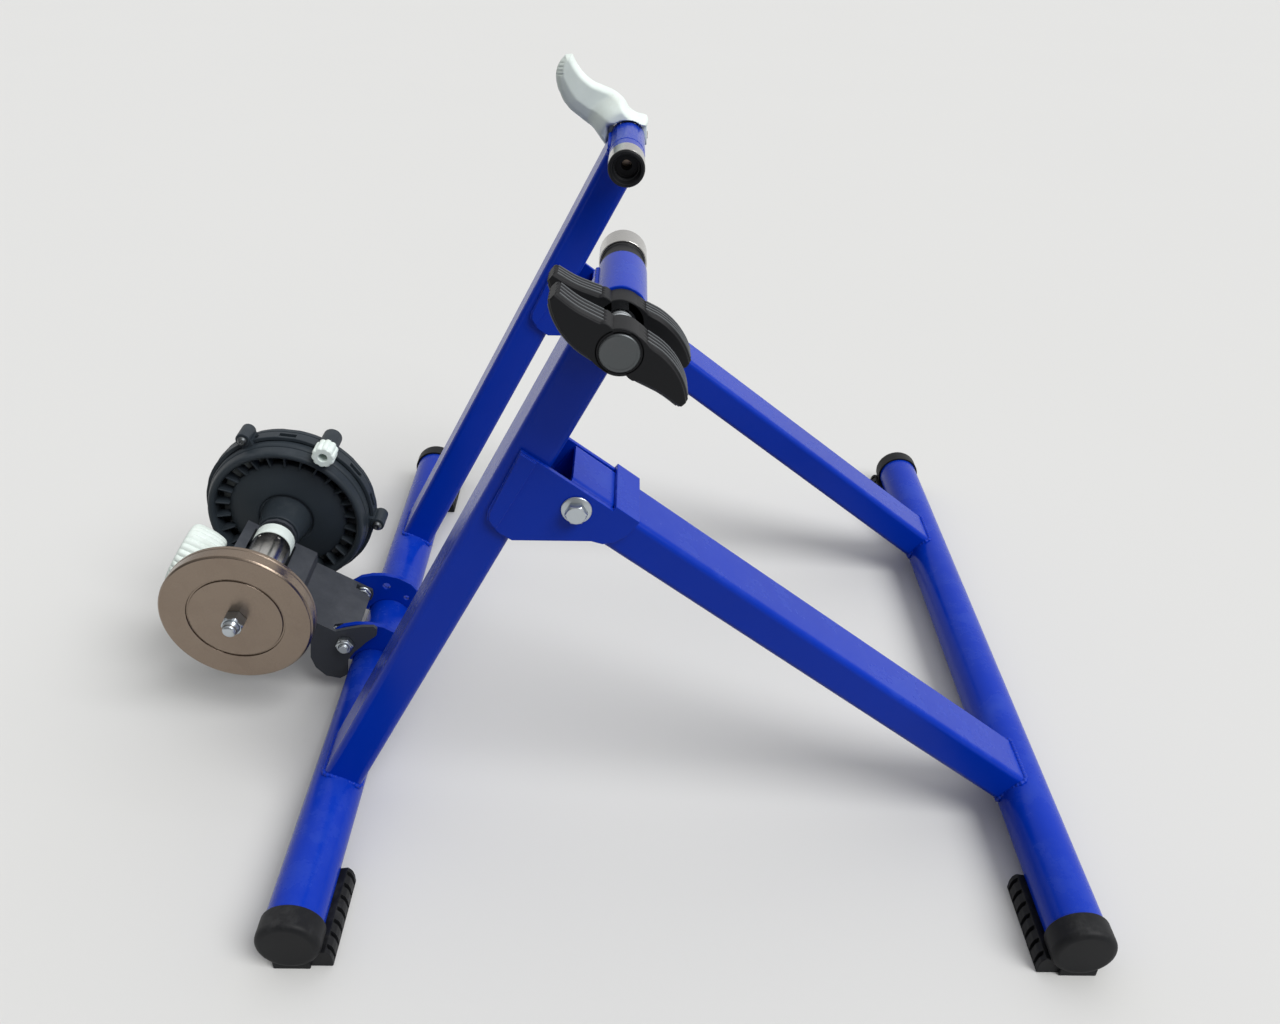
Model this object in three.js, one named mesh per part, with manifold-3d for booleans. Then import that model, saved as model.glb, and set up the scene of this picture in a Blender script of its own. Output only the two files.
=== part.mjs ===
// Folding wheel-on cycle trainer: a rear base tube with two slanting posts, a front
// base tube with two legs that fold under the posts, a screw clamp and a cam clamp for
// the axle, and a cradle with roller, flywheel and brake. Millimetres, +Z up; the base
// tubes, the axle line and the roller all run along Y.
import * as THREE from 'three';
import { mergeVertices } from 'three/addons/utils/BufferGeometryUtils.js';
import Module from 'manifold-3d';

const wasm = await Module();
wasm.setup();

// Clearances
const seatGap = 0.3;
const runGap = 0.5;
const cutOver = 5;

// Facets round a full circle
const bigFacets = 28;
const fineFacets = 20;
const midFacets = 12;
const smallFacets = 10;
const wireFacets = 6;
const hexSides = 6;

// Base tubes
const tubeRadius = 19;
const tubeWall = 2;
const baseLength = 607;
const footDrop = 22;

// End caps with their ribbed feet
const capWall = 1.7;
const capRadius = tubeRadius + seatGap + capWall;
const capFace = 17.5;
const capEdge = 1.2;
const capShoulder = 3.2;
const capLength = 17;
const capEndWall = 3;
const padHalfWidth = 12;
const padStart = 0.8;
const padTop = -15;
const footStart = 3;
const footLength = 69;
const footOutline = [
  [17, -8.6], [22.4, -7.6], [25, -10.6], [26, -15], [26, -footDrop],
  [2, -footDrop], [2, -17],
];
const footRibs = 7;
const ribPitch = 9.4;
const ribGroove = 3;
const ribFirst = 6.4;
const ribDepthX = 22.9;
const ribFloorZ = -19.6;

// Posts
const postAngle = THREE.MathUtils.degToRad(61.52);
const postWidth = 28;
const postDepth = 45;
const postCorner = 5;
const postWall = 2;
const postStart = 127;
const clampReach = 433;

// Folding legs
const legAngle = THREE.MathUtils.degToRad(37.8);
const legWidth = 27;
const legReach = 409.5;
const pivotOut = 38.91345;
const legTail = 13;
const legCorner = 4.5;
const legWall = 2;

// Leg brackets, in the leg's own directions from the pivot
const plateThick = 3;
const bracketOutline = [
  [-49.3, 12], [-32.5, 12.5], [15.3, 13], [35.5, 13], [35.5, 4], [32.5, -5], [27.5, -10.4],
  [20.7, -13], [-17.4, -42.6], [-26, -43.2], [-33.6, -42], [-38.4, -39.4], [-41, -34],
];
const panelOutline = [
  [-48.6, 11], [-37.6, 11.4], [-30.2, -40.6], [-33.2, -40.4], [-37.4, -38.2], [-39.8, -33.4],
];
const panelProud = 1.4;
const strapStart = 17.5;
const strapEnd = 35.5;
const strapThick = 2.7;

// Leg pivot hardware
const pivotShank = 4;
const pivotHole = pivotShank + seatGap;
const bushRadius = 6;
const flangeRadius = 9.4;
const flangeThick = 1.6;
const boltHead = 6.9;
const boltHeadHigh = 5.4;
const nutAcross = 7.4;
const nutHigh = 6.6;
const nutCollar = 1.6;
const nutCollarRadius = 6.1;
const boltPast = 2.6;

// Axle clamps; places along Y are counted from the face of the post that carries the clamp
const sleeveRadius = 14;
const sleeveOver = 10;
const screwRadius = 7;
const screwGap = 0.4;
const screwBore = screwRadius + screwGap;
const sleeveShort = 0.5;
const nearSleeveStart = -sleeveOver;
const nearSleeveEnd = postDepth - sleeveShort;
const lockLong = 16;
const lockWingDeep = 15;
const lockTurn = THREE.MathUtils.degToRad(-7);
const lockStart = nearSleeveStart - lockLong;
const screwShown = 10;
const leverBossLong = 26.9;
const leverWingDeep = 18;
const leverBossEnd = lockStart - screwShown;
const leverStart = leverBossEnd - leverBossLong;
const bossRadius = 12.8;
const bossNeck = 10.2;
const discRadius = 10.3;
const discThick = 3;
const discProud = 1.2;
const discFace = leverStart - discProud;
const collarRadius = 13;
const collarLong = 15.7;
const collarWall = 2;
const collarStart = nearSleeveEnd + seatGap + runGap;
const collarEnd = collarStart + collarLong;
const screwInner = collarEnd - collarWall;
const cupRingLong = 21;
const cupRingEnd = collarEnd + cupRingLong;
const cupMouth = 10.2;
const cupThroat = 5.2;
const cupDepth = 13;
const cupLip = 1.2;
const wingOutline = [
  [-3, 9], [7, 10.6], [13.5, 5.4], [21.5, 0], [28.5, -8.2], [33, -17.6], [34.2, -24],
  [33, -27.6], [29, -30], [20.8, -22.8], [12.5, -18.4], [5, -15.6], [-3, -11],
];
const wingRidge = 0.9;
const ridgeCount = 2;
const ridgeShare = 0.55;

// Far clamp
const farSleeveStart = -sleeveOver;
const farSleevePast = 3;
const farBarrelEnd = postDepth + farSleevePast;
const forkOuter = 11;
const forkRound = 8;
const forkSlotHalf = 6;
const forkSlotDeep = 8;
const farBore = 10.5;
const farInnerWall = 6;
const farOuterThick = 5;
const farOuterWall = farBarrelEnd - forkSlotDeep - farOuterThick;
const rodRadius = 4;
const rodHole = rodRadius + seatGap;
const rodFlange = 9.6;
const rodFlangeThick = 3;
const rodFlangeBack = 6.5;
const rodFlangeStart = farOuterWall - rodFlangeBack;
const camReach = 9;
const camAxis = farBarrelEnd + camReach;
const camPinRadius = 3;
const camPinHole = camPinRadius + seatGap;
const camGap = 0.8;
const camStart = 5.6;
const camRise = 7;
const camHalf = 5.5;
const camFacets = 24;
const plungerRadius = 13.7;
const plungerLong = 14;
const plungerStart = farSleeveStart - plungerLong;
const farCupLong = 23;
const farCupStart = plungerStart - farCupLong;
const farCupRadius = sleeveRadius;
const farCupMouth = 11.2;
const farCupDepth = 12;
const farCupHole = 3.7;
const farCupFace = 2.4;
const farRingWall = 1.6;
const springCoils = 4;
const springSteps = 8;
const springWire = 0.8;
const springMean = 7;
const leverDeep = 16;
const leverCheek = forkOuter + runGap;
const leverCheekThick = 4.1;
const leverCheekOut = leverCheek + leverCheekThick;
const leverBevel = 1.6;
const leverOutline = [
  [15.6, 9], [15.2, 15.5], [6, 17.5], [1.2, 21.5], [-3.1, 28], [-10.6, 34], [-20.2, 38],
  [-27.6, 41], [-35, 46.8], [-40.2, 53.4], [-44.4, 61.2], [-49.6, 60.6], [-54.4, 55.2], [-57.6, 46.4],
  [-56.8, 37.4], [-52.3, 26.3], [-46.7, 19.2], [-38.6, 13], [-27.9, 5], [-20.4, -1.2], [-17.4, 9],
];
const leverRidgeOutline = [
  [15.6, 9], [15.2, 15.5], [6, 17.5], [1.2, 21.5], [-3.1, 28], [-10.6, 34], [-20.2, 38],
  [-27.6, 41], [-35, 46.8], [-40.2, 53.4], [-44.4, 61.2], [-49, 57.4], [-46, 44], [-41, 33.6],
  [-31.6, 26.4], [-16.9, 20.6], [-6.4, 12.6], [-2, 9],
];
const leverRidgeBack = 4.2;
const gripGrooves = 5;
const gripPitch = 3.4;
const gripWide = 1.2;
const gripDeep = 1.1;
const gripFirst = 41.5;

// Ears on the rear tube; places along Y are counted from the middle between the posts
const flangeNearFace = -41;
const sheetThick = 3;
const earThick = 4;
const cradleWide = 70;
const flangeFarFace = flangeNearFace + cradleWide - sheetThick;
const nearEarFace = flangeNearFace + sheetThick + runGap;
const farEarFace = flangeNearFace + cradleWide + runGap;
const earOutline = [
  [28.5, 2], [29.5, 16], [27.6, 28.4], [22.6, 36], [13, 42.4], [0.6, 45.6], [-10, 45.6],
  [-20, 43.4], [-28, 38.4], [-32, 31], [-31, 21], [-25, 11], [0, 0],
];
const earPivotX = -19;
const earPivotZ = 29;
const spareHoleX = 1;
const spareHoleZ = 34;
const spareHoleRadius = 3.3;
const earScrewX = 17;
const earScrewZ = 21.5;
const earScrewRadius = 2.4;
const earNut = 4.2;
const earNutHigh = 3.2;

// Cradle, in its own directions from the pivot: minus X runs up towards the roller
const cradleAngle = THREE.MathUtils.degToRad(31.8);
const webEnd = 5.5;
const webLevel = 6.3;
const webStepStart = -46.5;
const webStepEnd = -50.5;
const webRaised = 15.8;
const webSkew = 2;
const webTop = -112.5;
const notchStart = -8.4;
const notchHead = 5.6;
const notchWide = 9;
const earSlotStart = -14.4;
const windowLeft = -104.2;
const windowRight = -68.4;
const windowInset = 5.2;
const rollerX = -86.3;
const rollerZ = 15.8;
const trunnionX = -63.5;
const trunnionZ = -15.8;
const flangeOutline = [
  [webEnd, webLevel], [8.4, 1.5], [9, -3.4], [5.6, -8], [0, -9.8], [-8, -11.4], [-52, -26.4], [-60, -26.4],
  [-68, -25.6], [-76, -20], [-98, 0.4], [-110, 8], [webTop, 12], [webTop, webRaised], [-102.6, webRaised],
  [-99.4, 24.6], [-93, 30.2], [rollerX, 31.6], [-79.6, 30.2], [-73.2, 24.6], [-70, webRaised],
  [webStepEnd, webRaised], [webStepStart, webLevel],
];
const guardOutline = [
  [-12, webLevel], [-3.1, 15.6], [4, 22.2], [12, 27.4], [15.4, 26.4], [18, 20], [14, 9],
  [12.6, 2.2], [10.2, -5.2], [9.4, -17.3], [15.4, -31], [12, -38], [1.1, -41.7], [-10, -38],
  [-18, -30], [-24, -16], [-24, webLevel],
];
const bearingOuter = 11;
const bearingWide = 7;
const cradleBoltHeadHigh = 4.6;

// Swivel block, tension screw and knob
const swivelRadius = 8;
const swivelJournal = 5;
const tensionRadius = 5;
const tensionInset = 35.5;
const tensionY = flangeNearFace + tensionInset;
const knobPlace = 54;
const knobLong = 31;
const knobNear = -knobPlace;
const knobFar = knobNear - knobLong;
const knobRadius = 28;
const knobFlute = 1.7;
const knobFlutes = 12;
const knobFluteSteps = 4;
const knobBevel = 3.5;
const knobBore = tensionRadius + seatGap;
const knobHubRadius = 12;
const knobHubLong = 6;

// Roller, flywheel and shaft
const shaftRadius = 6;
const pressGap = 0.2;
const shaftBore = shaftRadius + pressGap;
const bearingInner = shaftRadius + seatGap;
const nearBearingStart = flangeNearFace + (sheetThick - bearingWide) / 2;
const farBearingStart = flangeFarFace + (sheetThick - bearingWide) / 2;
const rollerRadius = 15.7;
const rollerApart = 6;
const rollerStart = nearBearingStart + bearingWide + rollerApart;
const ringLong = 12.4;
const ringApart = 2.3;
const ringEnd = farBearingStart - ringApart;
const rollerEnd = ringEnd - ringLong;
const ringProud = 0.4;
const ringRadius = rollerRadius + ringProud;
const ringEdge = 1;
const flywheelRadius = 57.5;
const flywheelWide = 14.7;
const flywheelEdge = 1.4;
const spacerRadius = 9;
const spacerLong = 27.3;
const flywheelBack = nearBearingStart - spacerLong;
const flywheelFace = flywheelBack - flywheelWide;
const faceGrooveRadius = 36;
const faceGrooveWide = 1.6;
const faceGrooveDeep = 1.4;
const nutRadius = 8.6;
const nutLong = 9.9;
const nutStart = flywheelFace - nutLong;
const shaftPast = 6.6;
const shaftStart = nutStart - shaftPast;

// Brake, from the hub's front to the back, and from the bore outwards
const hubStart = flangeFarFace + sheetThick + 3 * seatGap;
const hubLong = 18.6;
const hubCollarEnd = hubStart + hubLong;
const dishSlope = 6;
const dishHub = hubCollarEnd + dishSlope;
const dishRise = 5;
const dishFront = dishHub + dishRise;
const dishDeep = 3;
const grilleFloor = dishFront + dishDeep;
const shellWall = 3;
const floorBack = grilleFloor + shellWall;
const rimForward = 12;
const brakeFront = grilleFloor - rimForward;
const ribForward = 8.6;
const ribFront = grilleFloor - ribForward;
const jointBack = 2;
const shellJoint = floorBack + jointBack;
const backLong = 17;
const backEnd = shellJoint + backLong;
const hubBore = 8;
const hubRadius = 17;
const hubFlare = 3.5;
const hubCollar = hubRadius + hubFlare;
const dishStep = 3.5;
const dishInner = hubCollar + dishStep;
const dishWide = 26;
const dishRadius = dishInner + dishWide;
const grilleWide = 10;
const grilleRadius = dishRadius + grilleWide;
const rimWide = 5.5;
const frontRim = grilleRadius + rimWide;
const rimFlare = 3;
const frontRimBack = frontRim + rimFlare;
const ribCount = 26;
const ribThick = 1.7;
const backStep = 3.5;
const backRadius = frontRimBack + backStep;
const backEdge = 3;
const spigotBore = 9;
const spigotShoulder = 25;
const rotorInset = 11;
const rotorRadius = backRadius - shellWall - rotorInset;
const rotorPlace = 2;
const rotorStart = shellJoint + rotorPlace;
const rotorThick = 2.4;
const rotorHub = 12;
const rotorHubLong = 3;
const magnetCount = 6;
const magnetHigh = 1.8;
const magnetWide = 14;
const magnetLong = 18;
const magnetInset = 6;
const carrierInner = 22;
const carrierInset = 9;
const carrierOuter = backRadius - shellWall - carrierInset;
const carrierThick = 3;
const carrierStart = rotorStart + rotorThick + magnetHigh + 2 * runGap;
const spigotFront = carrierStart - 2 * seatGap;
const shaftShort = 6;
const shaftEnd = backEnd - shellWall - shaftShort;
const ventCount = 14;
const ventLong = 14;
const ventDeep = 3.4;
const ventWide = 4.6;
const ventPlace = 5;
const ventStart = shellJoint + ventPlace;
const lugOut = 4;
const lugRadius = backRadius + lugOut;
const lugSize = 6;
const lugForward = 5;
const lugStart = shellJoint - lugForward;
const lugShares = [111 / 360, -9 / 360, -129 / 360];
const adjusterShare = 56.7 / 360;
const adjusterOut = 5.7;
const adjusterRing = backRadius + adjusterOut;
const adjusterRadius = 9.6;
const adjusterHole = 3.7;
const adjusterLong = 16.4;
const adjusterEnd = lugStart - 2 * seatGap;
const adjusterStart = adjusterEnd - adjusterLong;
const adjusterFlute = 0.8;
const adjusterFlutes = 8;
const adjusterFluteSteps = 4;
const adjusterStem = 5.2;
const adjusterStemDeep = 5;
const adjusterStemEnd = lugStart + adjusterStemDeep;
const adjusterLugRadius = 8;
const housingScrewHead = 4.1;
const housingScrewHigh = 3.2;
const housingScrewShank = 2;
const housingScrewLong = 16;
const housingScrewShort = 2.5;
const lugHole = housingScrewShank + seatGap;

// Colours
const gloss = { roughness: 0.28, metalness: 0.1 };
const satin = { roughness: 0.5, metalness: 0.05 };
const metal = { roughness: 0.35, metalness: 0.9 };
const blue = 0x0b37b4;
const black = 0x1c2022;
const steel = 0x9aa0a4;
const zinc = 0xb4bcc0;
const chrome = 0xc4c6c8;
const greyPaint = 0x3c4149;
const white = 0xe4f0e8;
const brakeBlack = 0x14181c;

const finish = (color, look) => new THREE.MeshStandardMaterial({ color, ...look });

// A closed geometry as a solid that can be joined and cut.
function solid(geometry) {
  const bare = geometry.clone();
  bare.deleteAttribute('normal');
  bare.deleteAttribute('uv');
  const merged = mergeVertices(bare);
  return new wasm.Manifold(new wasm.Mesh({
    numProp: 3,
    vertProperties: new Float32Array(merged.attributes.position.array),
    triVerts: new Uint32Array(merged.index.array),
  }));
}

// A solid as a geometry with normals.
function shaped(body) {
  const mesh = body.getMesh();
  const geometry = new THREE.BufferGeometry();
  geometry.setAttribute('position', new THREE.BufferAttribute(new Float32Array(mesh.vertProperties), 3));
  geometry.setIndex(new THREE.BufferAttribute(new Uint32Array(mesh.triVerts), 1));
  geometry.computeVertexNormals();
  return geometry;
}

function cut(geometry, ...tools) {
  let body = solid(geometry);
  for (const tool of tools) body = body.subtract(solid(tool));
  return shaped(body);
}

function join(geometry, ...others) {
  let body = solid(geometry);
  for (const other of others) body = body.add(solid(other));
  return shaped(body);
}

function piece(name, geometry, color, look) {
  const mesh = new THREE.Mesh(geometry, finish(color, look));
  mesh.name = name;
  return mesh;
}

function outlineShape(points) {
  return new THREE.Shape(points.map(([x, z]) => new THREE.Vector2(x, z)));
}

// A flat outline in X and Z, given thickness along Y from a start.
function plate(shape, start, thick, bevel = 0) {
  const geometry = new THREE.ExtrudeGeometry(shape, {
    depth: thick - 2 * bevel,
    bevelEnabled: bevel > 0,
    bevelThickness: bevel,
    bevelSize: bevel,
    bevelOffset: -bevel,
    bevelSegments: 1,
    curveSegments: 8,
  });
  geometry.rotateX(Math.PI / 2);
  geometry.translate(0, start + thick - bevel, 0);
  return geometry;
}

// A profile of radius and Y, turned about the Y axis.
function turned(profile, facets = midFacets) {
  const points = profile.map(([radius, y]) => new THREE.Vector2(radius, y));
  return new THREE.LatheGeometry(points, facets);
}

// A round bar along Y between two ends.
function bar(radius, start, end, facets = midFacets) {
  const geometry = new THREE.CylinderGeometry(radius, radius, end - start, facets);
  geometry.translate(0, (start + end) / 2, 0);
  return geometry;
}

// A tube along Y between two ends.
function pipe(outer, inner, start, end, facets = midFacets) {
  return turned([[inner, start], [outer, start], [outer, end], [inner, end], [inner, start]], facets);
}

function block(x0, x1, y0, y1, z0, z1) {
  const geometry = new THREE.BoxGeometry(x1 - x0, y1 - y0, z1 - z0);
  geometry.translate((x0 + x1) / 2, (y0 + y1) / 2, (z0 + z1) / 2);
  return geometry;
}

function moved(geometry, x, z) {
  geometry.translate(x, 0, z);
  return geometry;
}

function group(x, y, z, turn, ...children) {
  const holder = new THREE.Group();
  holder.position.set(x, y, z);
  holder.rotation.y = turn;
  holder.add(...children);
  return holder;
}

function roundedRect(width, depth, corner) {
  const shape = new THREE.Shape();
  const x = width / 2;
  const y = depth / 2;
  shape.moveTo(-x + corner, -y);
  shape.lineTo(x - corner, -y);
  shape.absarc(x - corner, -y + corner, corner, -Math.PI / 2, 0);
  shape.lineTo(x, y - corner);
  shape.absarc(x - corner, y - corner, corner, 0, Math.PI / 2);
  shape.lineTo(-x + corner, y);
  shape.absarc(-x + corner, y - corner, corner, Math.PI / 2, Math.PI);
  shape.lineTo(-x, -y + corner);
  shape.absarc(-x + corner, -y + corner, corner, Math.PI, 1.5 * Math.PI);
  return shape;
}

// A hollow rectangular tube along Z from the origin.
function squareTube(width, depth, corner, wall, length) {
  const shape = roundedRect(width, depth, corner);
  shape.holes.push(roundedRect(width - 2 * wall, depth - 2 * wall, corner - wall));
  return new THREE.ExtrudeGeometry(shape, { depth: length, bevelEnabled: false, curveSegments: 2 });
}

// Base tube between its end caps.
function baseTube() {
  const start = capEndWall + seatGap;
  return pipe(tubeRadius, tubeRadius - tubeWall, start, baseLength - start, fineFacets);
}

// End cap: a sleeve over the tube's end, a flat pad, and a ribbed foot to one side.
function endCap(side) {
  const bore = tubeRadius + seatGap;
  const sleeve = turned([
    [0, 0], [capFace, 0], [capRadius - capEdge, capEdge], [capRadius, capShoulder],
    [capRadius, capLength], [0, capLength],
  ], fineFacets);
  const pad = block(-padHalfWidth, padHalfWidth, padStart, capLength, -footDrop, padTop);
  const foot = plate(outlineShape(footOutline), footStart, footLength - footStart);
  const grooves = [];
  for (let i = 0; i < footRibs; i += 1) {
    const y = ribFirst + i * ribPitch;
    grooves.push(block(ribDepthX, footDrop + capRadius, y, y + ribGroove, ribFloorZ, 0));
  }
  const hole = bar(bore, capEndWall, footLength + cutOver, fineFacets);
  const geometry = cut(join(sleeve, pad, foot), hole, ...grooves);
  if (side < 0) {
    geometry.scale(-1, 1, 1);
    flipFaces(geometry);
  }
  return geometry;
}

// Faces turned outwards again after mirroring.
function flipFaces(geometry) {
  const index = geometry.index.array;
  for (let i = 0; i < index.length; i += 3) {
    const held = index[i];
    index[i] = index[i + 2];
    index[i + 2] = held;
  }
  geometry.computeVertexNormals();
}

function capMesh(name, x, far, side) {
  const mesh = piece(name, endCap(far ? -side : side), black, satin);
  mesh.position.set(x, far ? baseLength : 0, 0);
  mesh.rotation.z = far ? Math.PI : 0;
  return mesh;
}

// Post, coped to the base tube below and to the clamp sleeve above.
function post() {
  return cut(
    squareTube(postWidth, postDepth, postCorner, postWall, clampReach),
    bar(tubeRadius + seatGap, -postDepth, postDepth, fineFacets),
    moved(bar(sleeveRadius + seatGap, -postDepth, postDepth, fineFacets), 0, clampReach),
  );
}

const legDepth = postDepth - 2 * runGap;

// Leg, coped to the front tube, with a bushed hole near its upper end.
function leg() {
  return cut(
    squareTube(legWidth, legDepth, legCorner, legWall, legReach + legTail),
    bar(tubeRadius + seatGap, -postDepth, postDepth, fineFacets),
    moved(bar(bushRadius + seatGap, -postDepth, postDepth, midFacets), 0, legReach),
  );
}

// Bracket: two plates on the post's sides joined by a strap over the leg.
function legBracket() {
  const inner = postDepth / 2 + seatGap;
  const outer = inner + plateThick;
  const outline = outlineShape(bracketOutline);
  const panel = outlineShape(panelOutline);
  const top = legWidth / 2 + seatGap;
  const cheekBase = bracketOutline[2][1] - strapThick;
  return cut(
    join(
      plate(outline, -outer, plateThick),
      plate(outline, inner, plateThick),
      plate(panel, -outer - panelProud, panelProud + plateThick / 2),
      plate(panel, outer - plateThick / 2, panelProud + plateThick / 2),
      block(strapStart, strapEnd, -outer, outer, top, top + strapThick),
      block(strapStart, strapEnd, -outer, -inner, cheekBase, top + strapThick),
      block(strapStart, strapEnd, inner, outer, cheekBase, top + strapThick),
    ),
    bar(pivotHole, -outer - cutOver, outer + cutOver, smallFacets),
  );
}

// Hexagon-headed bolt along Y: the head, a flange under it and the shank.
function hexBolt(base, across, headHigh, flange, flangeDeep, end) {
  const head = new THREE.CylinderGeometry(across, across, headHigh, hexSides);
  head.translate(0, base - flangeDeep - headHigh / 2, 0);
  const body = turned([
    [0, base - flangeDeep - headHigh / 2], [across / 2, base - flangeDeep - headHigh / 2],
    [across / 2, base - flangeDeep], [flange, base - flangeDeep], [flange, base], [pivotShank, base],
    [pivotShank, end], [0, end],
  ]);
  return join(head, body);
}

// Lock nut along Y, its face at the start.
function lockNut(start, across, high, bore) {
  const hexHigh = high - nutCollar;
  const hex = new THREE.CylinderGeometry(across, across, hexHigh, hexSides);
  hex.translate(0, start + hexHigh / 2, 0);
  const collar = bar(across * nutCollarRadius / nutAcross, start + hexHigh / 2, start + high);
  return cut(join(hex, collar), bar(bore, start - cutOver, start + high + cutOver, smallFacets));
}

// Two-winged clamp lever: boss and wings, with ridges along the wings' edges.
function wingLever(start, bossEnd, deep, boreRadius) {
  const full = outlineShape(wingOutline);
  const inset = outlineShape(insetOutline(wingOutline, wingRidge));
  const step = deep / (2 * ridgeCount + 1);
  const wings = [];
  for (const turn of [0, Math.PI]) {
    const base = plate(inset, start, deep);
    base.rotateY(turn);
    wings.push(base);
    for (let i = 0; i < ridgeCount; i += 1) {
      const ridge = plate(full, start + step * (2 * i + 1), step * 2 * ridgeShare);
      ridge.rotateY(turn);
      wings.push(ridge);
    }
  }
  return cut(
    join(bar(bossRadius, start, start + deep), bar(bossNeck, start + deep / 2, bossEnd), ...wings),
    bar(boreRadius, start - cutOver, bossEnd + cutOver),
  );
}

// An outline moved inwards by a distance along its corners' bisectors.
function insetOutline(points, distance) {
  const count = points.length;
  return points.map((point, i) => {
    const before = points[(i + count - 1) % count];
    const after = points[(i + 1) % count];
    const along = new THREE.Vector2(after[0] - before[0], after[1] - before[1]).normalize();
    return [point[0] + along.y * distance, point[1] - along.x * distance];
  });
}

// Steel cup at the end of the clamp screw, with a conical mouth.
function nearCupRing() {
  const start = collarEnd + seatGap;
  const floor = cupRingEnd - cupDepth;
  const bore = screwRadius - seatGap;
  return turned([
    [bore, start], [sleeveRadius, start], [sleeveRadius, cupRingEnd - cupLip],
    [sleeveRadius - cupLip, cupRingEnd], [cupMouth, cupRingEnd], [cupThroat, floor],
    [bore, floor - seatGap], [bore, start],
  ], fineFacets);
}

// Screw from the lever to the collar.
function clampScrew() {
  return turned([
    [0, discFace + discThick + seatGap], [screwRadius, discFace + discThick + seatGap],
    [screwRadius, screwInner], [0, screwInner],
  ], midFacets);
}

// Collar behind the cup, seated on the screw's end.
function cupCollar() {
  const bore = screwRadius + seatGap;
  return turned([
    [bore, collarStart], [collarRadius, collarStart], [collarRadius, collarEnd], [0, collarEnd],
    [0, screwInner + seatGap], [bore, screwInner + seatGap], [bore, collarStart],
  ], fineFacets);
}

// Far sleeve: bored barrel with an end wall each side, and a fork with round ends for the cam.
function farSleeve() {
  const innerWall = farSleeveStart + farInnerWall;
  const slotStart = farOuterWall + farOuterThick;
  const barrel = turned([
    [rodHole, farSleeveStart], [sleeveRadius, farSleeveStart], [sleeveRadius, farBarrelEnd],
    [rodHole, farBarrelEnd], [rodHole, farOuterWall], [farBore, farOuterWall], [farBore, innerWall],
    [rodHole, innerWall], [rodHole, farSleeveStart],
  ], fineFacets);
  const lugs = [-1, 1].map((side) => {
    const middle = side * (forkSlotHalf + forkOuter) / 2;
    const long = forkOuter - forkSlotHalf;
    const end = new THREE.CylinderGeometry(forkRound, forkRound, long, midFacets);
    end.rotateZ(Math.PI / 2);
    end.translate(middle, camAxis, 0);
    return join(end, block(middle - long / 2, middle + long / 2, slotStart, camAxis, -forkRound, forkRound));
  });
  const beyond = sleeveRadius + cutOver;
  const slot = block(-forkSlotHalf, forkSlotHalf, slotStart, farBarrelEnd + cutOver, -beyond, beyond);
  return cut(join(barrel, ...lugs), slot, crossBar(camPinHole, beyond, camAxis));
}

// A round bar along X through the axle line at a place along Y.
function crossBar(radius, half, y) {
  const geometry = new THREE.CylinderGeometry(radius, radius, 2 * half, smallFacets);
  geometry.rotateZ(Math.PI / 2);
  geometry.translate(0, y, 0);
  return geometry;
}

// Far cup: black cup with an inner lip, a small centre hole and a waist for its steel ring.
function farCup() {
  const back = plungerStart - seatGap;
  const lip = farCupMouth - cupLip;
  const inner = lip - cupLip;
  const waist = farCupRadius - farRingWall - seatGap;
  return turned([
    [farCupHole, farCupStart + farCupDepth], [inner, farCupStart + farCupDepth],
    [inner, farCupStart + farCupDepth / 2], [lip, farCupStart + farCupDepth / 2], [farCupMouth, farCupStart],
    [farCupRadius - cupLip, farCupStart], [farCupRadius, farCupStart + cupLip],
    [farCupRadius, farCupStart + farCupFace], [waist, farCupStart + farCupFace], [waist, back],
    [farCupHole, back], [farCupHole, farCupStart + farCupDepth],
  ], fineFacets);
}

// Steel ring round the far cup's waist.
function farCupRing() {
  const start = farCupStart + farCupFace + seatGap;
  return pipe(farCupRadius, farCupRadius - farRingWall, start, plungerStart - seatGap, fineFacets);
}

// Blue collar between the far cup and the sleeve.
function plungerCollar() {
  return pipe(plungerRadius, rodRadius + seatGap, plungerStart, farSleeveStart - seatGap, fineFacets);
}

// Rod from the cup to the cam, with a flange for the return spring.
function plungerRod() {
  const start = plungerStart;
  const tip = camAxis - camStart - camGap;
  return turned([
    [0, start], [rodRadius, start], [rodRadius, rodFlangeStart], [rodFlange, rodFlangeStart],
    [rodFlange, rodFlangeStart + rodFlangeThick], [rodRadius, rodFlangeStart + rodFlangeThick],
    [rodRadius, tip], [0, tip],
  ], smallFacets);
}

// Return spring round the rod.
function returnSpring() {
  const start = farSleeveStart + farInnerWall + seatGap + springWire;
  const end = rodFlangeStart - seatGap - springWire;
  const points = [];
  const steps = springCoils * springSteps;
  for (let i = 0; i <= steps; i += 1) {
    const turn = 2 * Math.PI * springCoils * i / steps;
    points.push(new THREE.Vector3(
      springMean * Math.cos(turn), start + (end - start) * i / steps, springMean * Math.sin(turn)));
  }
  const wire = new THREE.Shape();
  wire.absarc(0, 0, springWire, 0, 2 * Math.PI);
  return new THREE.ExtrudeGeometry(wire, {
    steps,
    bevelEnabled: false,
    curveSegments: wireFacets / 2,
    extrudePath: new THREE.CatmullRomCurve3(points),
  });
}

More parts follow.
